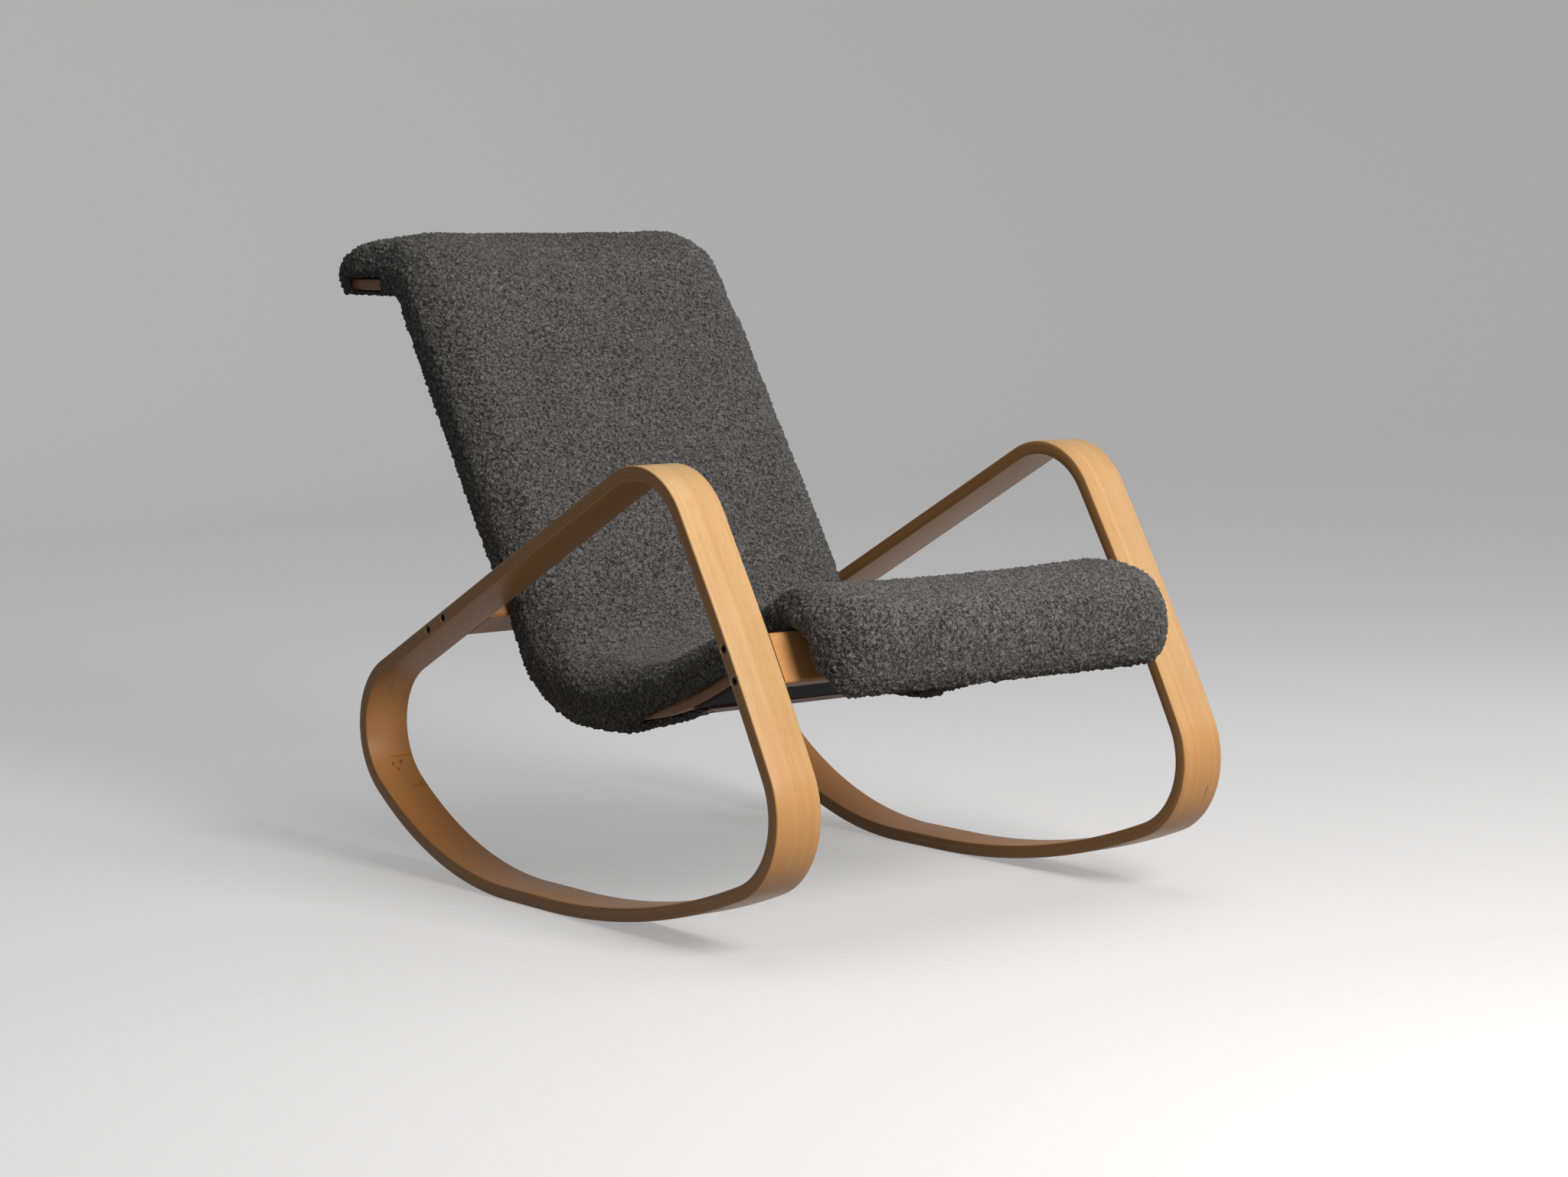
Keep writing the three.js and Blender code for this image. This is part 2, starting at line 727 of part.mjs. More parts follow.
function tipStations(begin, inset) {
  const from = beside(stationAt(shellRoute, begin), padHigh);
  const route = makeRoute({ x: from.x, y: from.y, heading: hookPiece.from.heading }, [
    { radius: headTip.radius, turn: -headTip.turn },
    { radius: headTip.lipRadius, turn: -headTip.lipTurn },
  ]);
  const lipPiece = route.pieces[1];
  const railTip = ahead(shellRoute.end, headTip.gap);
  const list = [];
  for (const station of distancesTo(route, inset).slice(1)) {
    const along = station.distance;
    const overShare = Math.min(along / lipPiece.begin, 1);
    const downShare = Math.max(along - lipPiece.begin, 0) / runLength(lipPiece.run);
    const narrowing = headTip.cornerRadius * (1 - Math.sqrt(1 - downShare ** 4));
    const over = stationAt(shellRoute, begin + (shellRoute.length - begin) * overShare);
    list.push({
      inner: overShare < 1
        ? beside(over, padLow)
        : beside(railTip, padLow - headTip.dropHeight * downShare),
      outer: beside(station, 0), halfWidth: padHalfWidth - narrowing,
      swell: pad.crownHeight * (1 - overShare), edge: edges.head,
    });
  }
  return list;
}

// Rises from 0 at the first place to 1 at the second and falls to 0 at the third
function peak(distance, from, top, to) {
  const rise = (distance - from) / (top - from);
  const fall = (to - distance) / (to - top);
  return THREE.MathUtils.clamp(Math.min(rise, fall), 0, 1);
}

function padStations(inset) {
  const tipBegin = shellRoute.length - headTip.overLength;
  const flank = stationsBetween(shellRoute, 0, tipBegin, softFacetHeight).map((station) => {
    const { distance } = station;
    const crown = pad.crownHeight * Math.min(distance / seatBendPiece.begin, 1);
    // The corners of the headrest are puffed, its middle isn't
    const puff = pad.puffHeight * peak(distance, backPiece.end, hookPiece.begin, tipBegin);
    return {
      inner: beside(station, padLow), outer: beside(station, padHigh + puff),
      halfWidth: padHalfWidth, swell: crown - puff, edge: edgeAt(distance),
    };
  });
  return [...rollStations(inset), ...flank, ...tipStations(tipBegin, inset)];
}

// The pad's section at a station, as [across, height]: along the inner face, up the drawn-in
// side, round the edge and over the crown
function padSection({ halfWidth, swell, edge }, lift) {
  const foot = edge.footWidth * Math.min(1, lift / pad.thickness);
  const half = [[halfWidth - foot, 0, 0], [halfWidth, edge.wallShare, 0]];
  for (const angle of [30, 60, 90]) {
    const across = halfWidth - edge.radius * (1 - Math.cos(angle * degrees));
    const rise = edge.wallShare + (1 - edge.wallShare) * Math.sin(angle * degrees);
    half.push([across, rise, 0]);
  }
  half.push([halfWidth * crownPlaceShare, 1, 1 - crownPlaceShare ** 2]);
  const whole = [...half, [0, 1, 1], ...half.map(([z, h, s]) => [-z, h, s]).reverse()];
  return whole.map(([z, height, share]) => new THREE.Vector2(z, height * lift + swell * share));
}

// Moves every side of a section inwards by an inset, and its last side, the floor, by its own
function insetSection(points, inset, floorInset) {
  const count = points.length;
  const sideAt = (i) => {
    const from = points[(i + count) % count];
    const to = points[(i + 1) % count];
    return new THREE.Vector2(from.y - to.y, to.x - from.x).normalize();
  };
  return points.map((point, i) => {
    const before = sideAt(i - 1);
    const after = sideAt(i);
    const move = before.clone().add(after).multiplyScalar(inset / (1 + before.dot(after)));
    const moved = point.clone().add(move);
    if (i > 0 && i < count - 1) return moved;
    // The floor is level, so its corners slide along the sides to its own height
    const wall = i === 0 ? after : before;
    const slide = (floorInset - moved.y) * (-wall.y / wall.x);
    return new THREE.Vector2(moved.x + slide, floorInset);
  });
}

function padRing(station, inset, floorInset) {
  const lift = station.outer.clone().sub(station.inner);
  const section = padSection(station, lift.length());
  const up = lift.normalize();
  return insetSection(section, inset, floorInset).map(({ x: across, y: height }) => {
    const point = station.inner.clone().addScaledVector(up, height);
    return [point.x, point.y, across];
  });
}

// A closed skin through equal rings, with a fan at each end
function loft(rings) {
  const count = rings[0].length;
  const positions = rings.flat(2);
  const index = [];
  for (let r = 0; r + 1 < rings.length; r += 1) {
    for (let i = 0; i < count; i += 1) {
      const a = r * count + i;
      const b = r * count + ((i + 1) % count);
      index.push(a, a + count, b, b, a + count, b + count);
    }
  }
  const last = (rings.length - 1) * count;
  for (let i = 1; i + 1 < count; i += 1) {
    index.push(0, i, i + 1);
    index.push(last, last + i + 1, last + i);
  }
  const geometry = new THREE.BufferGeometry();
  geometry.setAttribute('position', new THREE.Float32BufferAttribute(positions, 3));
  geometry.setIndex(index);
  return geometry;
}

function padGeometry(inset, floorInset) {
  return loft(padStations(inset).map((station) => padRing(station, inset, floorInset)));
}

// The wrap on the left side: a skirt that climbs over the shell rail's outer side, a return
// under the rail and a lap in the pad's side wall, open where the rear rail meets the shell
function wrapSolid() {
  const outer = padHalfWidth - wrap.stepWidth;
  const skirtFace = railOuterFace + seatGap;
  const returnFace = outer - wrap.returnWidth;
  const bottom = -wrap.thickness;
  const top = padLow - seatGap;
  const skirtBegin = seatBendPiece.end - wrap.skirtLeadLength;
  const begin = skirtBegin - wrap.returnLeadLength;
  const list = stationsBetween(shellRoute, begin, backPiece.end, woodFacetHeight);
  const rings = list.map((station) => {
    const climb = Math.min((station.distance - begin) / (skirtBegin - begin), 1);
    const edge = THREE.MathUtils.lerp(0, top, climb);
    const section = [
      [outer, bottom], [outer, edge], [skirtFace, edge], [skirtFace, -seatGap],
      [returnFace, -seatGap], [returnFace, bottom],
    ];
    return section.map(([across, level]) => [...beside(station, level).toArray(), across]);
  });
  const strip = (from, to, low, high, inner, width) => {
    const geometry = slab(stripOutline(from, to, low, high), width);
    return toSolid(geometry.translate(0, 0, inner + width / 2));
  };
  const lap = strip(backPiece.begin, backPiece.end, 0, padLow + wrap.lapHeight,
    outer - coverThickness, coverThickness);
  const notch = strip(rearContact - wrap.notchLength, rearContact + wrap.notchLength,
    bottom - cutOverrunLength, 0, returnFace - cutOverrunLength,
    wrap.returnWidth + 2 * cutOverrunLength);
  return toSolid(loft(rings)).add(lap).subtract(notch);
}

function addUpholstery() {
  addPiece('foam_pad', padGeometry(coverThickness + foamGap, seatGap), 'foam');
  const cavity = padGeometry(coverThickness, -cutOverrunLength);
  const shell = toSolid(padGeometry(0, 0)).subtract(toSolid(cavity));
  const left = wrapSolid();
  const right = left.mirror([0, 0, 1]);
  addPiece('seat_cover', toGeometry(shell.add(left).add(right)), 'curlyCloth');
}

addLoops();
addBoards();
addBolts();
addShellRails();
addSlats();
addStraps();
addCloths();
addUpholstery();

// The origin is on the floor, under the middle of the chair
const chair = new THREE.Group();
chair.add(sideView);
chair.updateMatrixWorld(true);
const box = new THREE.Box3().setFromObject(chair);
sideView.position.y = -(box.min.y + box.max.y) / 2;

export default chair;
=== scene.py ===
from math import ceil, copysign, cos, hypot, pi, radians, sin

import bpy
import numpy as np
from mathutils import Matrix, Vector, noise


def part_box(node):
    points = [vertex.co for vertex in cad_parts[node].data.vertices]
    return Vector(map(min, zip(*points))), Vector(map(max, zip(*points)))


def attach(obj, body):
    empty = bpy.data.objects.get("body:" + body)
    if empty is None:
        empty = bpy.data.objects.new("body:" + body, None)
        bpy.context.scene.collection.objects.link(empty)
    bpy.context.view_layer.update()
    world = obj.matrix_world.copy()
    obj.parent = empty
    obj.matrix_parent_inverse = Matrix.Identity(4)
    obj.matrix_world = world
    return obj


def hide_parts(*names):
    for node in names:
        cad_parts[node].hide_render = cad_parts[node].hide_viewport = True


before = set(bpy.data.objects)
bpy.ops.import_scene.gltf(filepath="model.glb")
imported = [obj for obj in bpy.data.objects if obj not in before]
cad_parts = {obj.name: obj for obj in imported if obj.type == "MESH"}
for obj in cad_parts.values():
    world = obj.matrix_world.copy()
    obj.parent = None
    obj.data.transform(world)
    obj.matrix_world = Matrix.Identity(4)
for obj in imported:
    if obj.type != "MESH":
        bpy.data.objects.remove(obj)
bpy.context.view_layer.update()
print("frame loaded")

# Side view of the chair in millimetres: x runs to the rear, y runs up, as in the CAD model.
# Routes are straight runs (length) and tangent bends (radius, turn in degrees).

loopDims = {
    "width": 60, "thickness": 16, "edgeRadius": 1.8, "overallWidth": 656,
    "flatFront": 12, "flatRear": 70, "rearRockerRadius": 480,
    "heel": {"radius": 95, "turn": 115.9}, "armBend": {"radius": 97, "turn": 85.8},
    "legBow": {"radius": 3700, "turn": 3.9}, "frontCorner": {"radius": 100, "turn": 96.6},
    "frontRocker": {"radius": 1030, "turn": 21.1}, "bendStep": 6, "straightStep": 12,
}
railDims = {"frontHeight": 320.5, "rearHeight": 313, "width": 60, "edgeRadius": 4, "gap": 0.3}
shellDims = {
    "width": 45, "thickness": 14, "outerFace": 232, "edgeRadius": 1.6,
    "seatSlope": 25.8, "backSlope": 57.5, "seatBendRadius": 500, "seatFlat": 22,
    "backBendRadius": 162, "backLength": 476, "hookRadius": 30, "hookLength": 108,
    "bendStep": 5, "straightStep": 30,
}


# Stretches under this length, in millimetres, get no places of their own
shortestRun = 0.01


def runLength(run):
    if "length" in run:
        return run["length"]
    return run["radius"] * radians(abs(run["turn"]))


def advance(at, run, share):
    x, y, heading = at
    if "length" in run:
        step = run["length"] * share
        return x + step * cos(heading), y + step * sin(heading), heading
    bend = copysign(run["radius"], run["turn"])
    turned = heading + radians(run["turn"]) * share
    x += bend * (sin(turned) - sin(heading))
    y -= bend * (cos(turned) - cos(heading))
    return x, y, turned


def makeRoute(start, runs):
    pieces = []
    at = start
    begin = 0
    for run in runs:
        end = begin + runLength(run)
        pieces.append({"run": run, "start": at, "begin": begin, "end": end})
        at = advance(at, run, 1)
        begin = end
    return {"pieces": pieces, "length": begin, "end": at}


def stationAt(route, distance):
    piece = next((p for p in route["pieces"] if distance <= p["end"]), route["pieces"][-1])
    share = (distance - piece["begin"]) / (piece["end"] - piece["begin"])
    return advance(piece["start"], piece["run"], share)


def beside(station, level):
    x, y, heading = station
    return x - level * sin(heading), y + level * cos(heading)


def distancesAlong(route, begin, end, bendStep, straightStep):
    # Places along a route, close together in its bends
    places = [begin]
    for piece in route["pieces"]:
        low = max(begin, piece["begin"])
        high = min(end, piece["end"])
        if high - low < shortestRun:
            continue
        step = straightStep if "length" in piece["run"] else bendStep
        count = max(1, ceil((high - low) / step))
        places += [low + (high - low) * i / count for i in range(1, count + 1)]
    return places


def makeLoopRoute():
    # Round the loop from the floor; the lengths of the arm and the leg are those that close it
    bends = [loopDims[key] for key in ("heel", "armBend", "legBow", "frontCorner", "frontRocker")]
    turn = 360 - sum(bend["turn"] for bend in bends)
    arm = {"length": 0}
    leg = {"length": 0}
    heel, armBend, legBow, frontCorner, frontRocker = bends
    runs = [
        {"radius": loopDims["rearRockerRadius"], "turn": turn}, heel, arm, armBend, leg,
        legBow, frontCorner, frontRocker,
        {"length": loopDims["flatFront"] + loopDims["flatRear"]},
    ]
    start = (loopDims["flatRear"], 0, 0)
    trial = makeRoute(start, runs)
    armHeading = trial["pieces"][2]["start"][2]
    legHeading = trial["pieces"][4]["start"][2]
    missX = start[0] - trial["end"][0]
    missY = start[1] - trial["end"][1]
    spread = sin(legHeading - armHeading)
    arm["length"] = (missX * sin(legHeading) - missY * cos(legHeading)) / spread
    leg["length"] = (missY * cos(armHeading) - missX * sin(armHeading)) / spread
    return makeRoute(start, runs)


loopRoute = makeLoopRoute()
loopPlaces = distancesAlong(
    loopRoute, 0, loopRoute["length"], loopDims["bendStep"], loopDims["straightStep"])
loopFront = min(stationAt(loopRoute, place)[0] for place in loopPlaces)
loopBack = max(stationAt(loopRoute, place)[0] for place in loopPlaces)
loopLow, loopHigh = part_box("right_loop")
# The side view's zero along the chair, in metres in the frame
originY = (loopLow.y + loopHigh.y) / 2 - (loopFront + loopBack) / 2000


def toWorld(across, x, y):
    return Vector((across / 1000, x / 1000 + originY, y / 1000))


# Camera at the photograph's angle

cameraDims = {
    "lens": 79.275, "sensor": 36, "yaw": 0.6628, "pitch": 0.1082, "roll": -0.007,
    "across": -2517.58, "along": -3266.7, "height": 797, "farthest": 60,
}


def addObject(name, data):
    made = bpy.data.objects.new(name, data)
    bpy.context.collection.objects.link(made)
    return made


def addCamera():
    dims = cameraDims
    yaw, pitch, roll = dims["yaw"], dims["pitch"], dims["roll"]
    ahead = Vector((sin(yaw) * cos(pitch), cos(yaw) * cos(pitch), -sin(pitch)))
    level = ahead.cross(Vector((0, 0, 1))).normalized()
    upright = level.cross(ahead)
    right = level * cos(roll) + upright * sin(roll)
    up = upright * cos(roll) - level * sin(roll)
    data = bpy.data.cameras.new("camera")
    data.lens = dims["lens"]
    data.sensor_width = dims["sensor"]
    data.clip_end = dims["farthest"]
    camera = addObject("camera", data)
    place = toWorld(dims["across"], dims["along"], dims["height"])
    axes = Matrix((right, up, -ahead)).transposed().to_4x4()
    camera.matrix_world = Matrix.Translation(place) @ axes
    bpy.context.scene.camera = camera


addCamera()
print("camera placed")


# Shader maths on sockets

def mathMethod(operation, swap=False):
    return lambda self, other=0.0: self.math(operation, other, swap)


class Socket:
    # A socket that adds Math nodes when it is calculated with

    def __init__(self, finish, source):
        self.finish = finish
        self.source = source

    def math(self, operation, other, swap):
        first, second = (other, self) if swap else (self, other)
        return self.finish.node(
            "ShaderNodeMath", {"operation": operation}, {0: first, 1: second})

    __add__ = __radd__ = mathMethod("ADD")
    __sub__ = mathMethod("SUBTRACT")
    __rsub__ = mathMethod("SUBTRACT", True)
    __mul__ = __rmul__ = mathMethod("MULTIPLY")
    __truediv__ = mathMethod("DIVIDE")
    __pow__ = mathMethod("POWER")
    __abs__ = mathMethod("ABSOLUTE")
    fraction = mathMethod("FRACT")
    whole = mathMethod("FLOOR")
    sine = mathMethod("SINE")
    orMore = mathMethod("MAXIMUM")

    def above(self, limit, blur):
        # 0 below a limit, 1 above it, with a soft step between
        return self.finish.node(
            "ShaderNodeMapRange", {"interpolation_type": "SMOOTHSTEP"},
            {"Value": self, "From Min": limit - blur, "From Max": limit + blur})


class Finish:
    # A material under construction

    def __init__(self, name, **constants):
        self.material = bpy.data.materials.new(name)
        self.material.use_nodes = True
        self.tree = self.material.node_tree
        self.shader = self.tree.nodes["Principled BSDF"]
        self.set(**constants)

    def plug(self, entry, value):
        if isinstance(value, Socket):
            self.tree.links.new(value.source, entry)
        else:
            entry.default_value = value

    def node(self, kind, settings=(), values=(), output=0):
        # Adds a node: its settings come first, then the values or links of its sockets
        made = self.tree.nodes.new(kind)
        for key, value in dict(settings).items():
            setattr(made, key, value)
        for key, value in dict(values).items():
            self.plug(made.inputs[key], value)
        return Socket(self, made.outputs[output])

    def vector(self, x, y, z):
        return self.node("ShaderNodeCombineXYZ", values={"X": x, "Y": y, "Z": z})

    def parts(self, vector):
        made = self.node("ShaderNodeSeparateXYZ", values={"Vector": vector}).source.node
        return [Socket(self, part) for part in made.outputs]

    def place(self):
        # Coordinates of the piece itself
        return self.node("ShaderNodeTexCoord", output=3)

    def noise(self, vector, scale, detail=2.0, roughness=0.5):
        return self.node("ShaderNodeTexNoise", values={
            "Vector": vector, "Scale": scale, "Detail": detail, "Roughness": roughness})

    def mix(self, factor, first, second):
        return self.node("ShaderNodeMix", {"data_type": "RGBA"},
                         {0: factor, 6: first, 7: second}, 2)

    def dot(self, vector, axis):
        return self.node("ShaderNodeVectorMath", {"operation": "DOT_PRODUCT"},
                         {0: vector, 1: axis}, "Value")

    def bump(self, height, strength, distance):
        return self.node("ShaderNodeBump", values={
            "Height": height, "Strength": strength, "Distance": distance})

    def set(self, **inputs):
        for key, value in inputs.items():
            self.plug(self.shader.inputs[key.replace("_", " ")], value)
        return self.material


def colour(red, green, blue):
    return red, green, blue, 1


# Wood: sliced veneer on the broad faces, thin plies on the edges

woodLooks = {
    "loop_veneer": {
        "pale": colour(0.7, 0.47, 0.228), "deep": colour(0.43, 0.215, 0.07),
        # Below a height in metres the veneer is painted a darker orange, as painted shade towards
        # the floor
        "lowShade": colour(0.62, 0.29, 0.095), "lowShadeBelow": 0.2,
        "edge": colour(0.25, 0.118, 0.036), "glue": colour(0.085, 0.034, 0.011),
        "ply": 0.00145, "lines": 520, "sheen": 0.1, "contrast": 0.95,
        # inner: the loops' inner faces are painted a darker, more saturated orange, as painted
        # warm shade
        "inner": colour(0.5, 0.2, 0.058), "innerLevel": 0.0153,
    },
    # Cross rails: the loops' veneer painted darker and more orange, as painted shade under the
    # seat
    "rail_veneer": {
        "pale": colour(0.6, 0.3, 0.105), "deep": colour(0.4, 0.17, 0.05),
        "edge": colour(0.3, 0.15, 0.06), "glue": colour(0.1, 0.045, 0.018),
        "ply": 0.00145, "lines": 420, "sheen": 0.08, "contrast": 0.4,
    },
    "shell_wood": {
        "pale": colour(0.36, 0.185, 0.08), "deep": colour(0.23, 0.105, 0.042),
        "edge": colour(0.25, 0.125, 0.052), "glue": colour(0.11, 0.05, 0.02),
        "ply": 0.0014, "lines": 300, "sheen": 0.08, "contrast": 0.5,
    },
    # Batten: near-black wood, painted shade under the seat
    "shaded_batten_wood": {
        "pale": colour(0.13, 0.06, 0.03), "deep": colour(0.06, 0.025, 0.013),
        "edge": colour(0.1, 0.045, 0.022), "glue": colour(0.05, 0.02, 0.01),
        "ply": 0.002, "lines": 300, "sheen": 0.0, "contrast": 0.9,
    },
    "slat_wood": {
        "pale": colour(0.5, 0.32, 0.16), "deep": colour(0.34, 0.19, 0.085),
        "edge": colour(0.42, 0.26, 0.13), "glue": colour(0.38, 0.23, 0.11),
        "ply": 0.002, "lines": 220, "sheen": 0.04, "contrast": 0.6,
    },
}


# Noise in the wood: stretch along it, fineness across it, detail and roughness
grainNoises = {
    "drift": (1.3, 7, 1.0, 0.5), "stir": (3, 70, 2.0, 0.5), "strength": (1.6, 24, 1.0, 0.5),
    "fibre": (11, 1300, 3.0, 0.6), "pores": (48, 2300, 1.0, 0.5), "cloud": (2.6, 11, 2.0, 0.5),
    "bands": (0.8, 130, 2.0, 0.5),
}
woodRelief = {"strength": 0.14, "depth": 0.0004}


def bandCoordinates(finish):
    # Along, across and through a bent band, and how far a point is on its edge
    along, across, _ = finish.parts(finish.node("ShaderNodeUVMap", {"uv_map": "grain"}))
    through, edge, _ = finish.parts(finish.node("ShaderNodeUVMap", {"uv_map": "plies"}))
    return along, across, through, edge


def boardCoordinates(finish, normal):
    # The same for a straight board that runs along X, with its broad faces square to normal
    place = finish.place()
    facing = finish.node("ShaderNodeTexCoord", output=1)
    wide = Vector((1, 0, 0)).cross(Vector(normal))
    along = finish.dot(place, (1, 0, 0))
    across = finish.dot(place, tuple(wide))
    through = finish.dot(place, normal)
    edge = 1 - abs(finish.dot(facing, normal)).above(0.7, 0.05)
    return along, across, through, edge


# Open veneer joints, knots and hairline cracks: where each lies along and across the band and
# half its size, in millimetres, how dark it is and whether it is on the inner face
loopMarks = {
    "right": [
        (346, 0.5, 13, 16, 0.7, True), (290, 0.6, 18, 11, 0.75, True),
        (188, 0.4, 0, 28, 0.5, True), (318, 27, 7.5, 0.35, 0.35, True),
        (336, 3, 10, 1.6, 0.75, True), (334, 3, -2, 1.2, 0.7, True),
        (324, 2.2, 2.5, 1.5, 0.75, True), (295, 3.5, 22, 1.3, 0.4, True),
        (463, 18, -2, 0.5, 0.6, True), (1452, 16, -19, 0.3, 0.35, False),
    ],
    "left": [
        (1605, 12, 12, 0.6, 0.8, False), (1640, 9, 9, 0.35, 0.45, False),
        (212, 0.4, 0, 28, 0.45, True),
    ],
}


markBlur = 0.0004
outerFaceLevel = 0.0007


def markShade(along, across, through, marks):
    # How dark the marks make each point
    shade = None
    for centre, half, aside, halfAside, depth, inner in marks:
        here = 1 - abs(along - centre / 1000).above(half / 1000, markBlur)
        here = here * (1 - abs(across - aside / 1000).above(halfAside / 1000, markBlur))
        if inner:
            side = through.above(woodLooks["loop_veneer"]["innerLevel"], markBlur)
        else:
            side = 1 - through.above(outerFaceLevel, markBlur)
        here = here * side * depth
        shade = here if shade is None else shade.orMore(here)
    return shade


def woodFinish(name, slot, seed, normal=None, marks=None):
    # Wood of a bent band, or of a straight board when the normal of its faces is given
    look = woodLooks[slot]
    finish = Finish(name, Coat_Weight=look["sheen"], Coat_Roughness=0.3, Specular_IOR_Level=0.35)
    if normal:
        along, across, through, edge = boardCoordinates(finish, normal)
    else:
        along, across, through, edge = bandCoordinates(finish)
    run = along + seed

    def grain(kind, aside):
        stretch, fine, detail, roughness = grainNoises[kind]
        place = finish.vector(run * stretch, aside * fine, through * fine)
        return finish.noise(place, 1.0, detail, roughness)

    bent = across + (grain("drift", across) - 0.5) * 0.016
    rings = (bent * look["lines"] + grain("stir", bent) * 2.2).fraction() ** 1.8
    strength = grain("strength", bent).above(0.42, 0.2)
    fibre = grain("fibre", bent)
    pores = grain("pores", bent).above(0.63, 0.06)
    tone = rings * (strength * 0.85 + 0.2) * look["contrast"] + (fibre - 0.5) * 0.55
    tone = tone + (grain("cloud", across) - 0.5) * 0.6 + (grain("bands", bent) - 0.5) * 0.7 + 0.2
    # Painted shade: the wood is painted a darker orange towards the floor, below a set height
    ground = look["pale"]
    if "lowShade" in look:
        _, _, height = finish.parts(finish.place())
        low = 1 - height.above(look["lowShadeBelow"], 0.13)
        ground = finish.mix(low, ground, look["lowShade"])
    face = finish.mix(tone, ground, look["deep"])
    face = finish.mix(pores * 0.6, face, look["deep"])
    # Painted warm shade: the loop's inner face is painted a darker, more saturated orange
    if "inner" in look:
        inward = through.above(look["innerLevel"], markBlur) * (0.75 - tone * 0.5)
        face = finish.mix(inward, face, look["inner"])
    layer = through / look["ply"]
    line = abs(layer.fraction() - 0.5).above(0.4, 0.06)
    shade = finish.noise(finish.vector(layer.whole() * 3.7, run * 5, across * 5), 1.0, 1.0)
    side = finish.mix(shade.above(0.5, 0.25) * 0.6 + fibre * 0.25, look["edge"], look["deep"])
    side = finish.mix(line * 0.65, side, look["glue"])
    tint = finish.mix(edge, face, side)
    if marks:
        tint = finish.mix(markShade(along, across, through, marks), tint, look["glue"])
    height = fibre * 0.5 - rings * strength * 0.4 - pores * 0.5 - line * edge * 0.8
    return finish.set(
        Base_Color=tint, Roughness=0.34 + fibre * 0.18 + edge * 0.08,
        Normal=finish.bump(height, woodRelief["strength"], woodRelief["depth"]))


# Upholstery cloth, webbing, dust cloth and metal

# tip, middle and root: painted highlight on the curls' tops, mid grey, and painted shade deep
# between the curls
clothLook = {
    "tip": colour(0.238, 0.235, 0.231), "middle": colour(0.118, 0.117, 0.116),
    "root": colour(0.014, 0.014, 0.014), "curl": 320, "worm": 310, "fuzz": 1700.0,
    "patch": 12.0, "drift": 110.0, "driftBy": (0.012, 0.012, 0.012), "relief": 0.0026,
}
wovenLooks = {
    "strap_webbing": {"thread": 700, "dark": colour(0.012, 0.011, 0.01),
                      "pale": colour(0.05, 0.046, 0.04)},
    "lining_cloth": {"thread": 1300, "dark": colour(0.01, 0.01, 0.011),
                     "pale": colour(0.03, 0.03, 0.033)},
}
wovenRelief = {"strength": 0.4, "depth": 0.0005}


def curlyFinish():
    look = clothLook
    finish = Finish("curly_cloth", Sheen_Weight=0.15, Sheen_Roughness=0.6,
                    Specular_IOR_Level=0.12)
    place = finish.place()
    pile = finish.node("ShaderNodeAttribute", {"attribute_name": "pile"}, output=2)
    drift = finish.node("ShaderNodeTexNoise", values={
        "Vector": place, "Scale": look["drift"], "Detail": 1.0}, output=1)
    moved = finish.node("ShaderNodeVectorMath", {"operation": "MULTIPLY_ADD"},
                        {0: drift, 1: look["driftBy"], 2: place})
    curls = finish.node("ShaderNodeTexVoronoi", {"feature": "SMOOTH_F1"}, {
        "Vector": moved, "Scale": look["curl"], "Smoothness": 0.25})
    lump = 1 - curls * 1.3
    worms = 1 - abs(finish.noise(moved, look["worm"]) - 0.5) * 6
    fuzz = finish.noise(place, look["fuzz"])
    patch = finish.noise(place, look["patch"])
    height = lump * 0.55 + worms * 0.3 + pile * 0.35
    # Painted light: higher parts of the pile are painted paler as painted highlight, and hollows
    # darker as painted shade; fuzz and patch add random tone
    light = (height - 0.42) * 1.5 + (fuzz - 0.5) * 0.3 + (patch - 0.5) * 0.22
    low = finish.mix(light.above(0.05, 0.25), look["root"], look["middle"])
    tint = finish.mix(light.above(0.6, 0.4), low, look["tip"])
    return finish.set(
        Base_Color=tint, Roughness=0.85 + fuzz * 0.15,
        Normal=finish.bump(lump * 0.6 + worms * 0.35 + fuzz * 0.2, 1.0, look["relief"]))


def wovenFinish(name):
    look = wovenLooks[name]
    finish = Finish(name, Specular_IOR_Level=0.2)
    x, y, z = finish.parts(finish.place())
    turn = pi * look["thread"]
    warp = (x * turn).sine()
    weft = ((y * 0.8 + z * 0.6) * turn).sine()
    weave = warp * weft * 0.5 + 0.5
    fuzz = finish.noise(finish.vector(x, y, z), 900.0)
    tone = weave * 0.7 + fuzz * 0.3
    return finish.set(
        Base_Color=finish.mix(tone, look["dark"], look["pale"]), Roughness=0.8 + fuzz * 0.15,
        Normal=finish.bump(weave, wovenRelief["strength"], wovenRelief["depth"]))


def metalFinish(name, base, metallic, roughness):
    finish = Finish(name, Metallic=metallic)
    smear = finish.noise(finish.place(), 400.0, 3.0)
    dark = colour(*[part * 0.6 for part in base[:3]])
    return finish.set(Base_Color=finish.mix(smear, base, dark),
                      Roughness=roughness - 0.08 + smear * 0.2,
                      Normal=finish.bump(smear, 0.05, 0.0002))


# Bent bands: side loops and shell rails

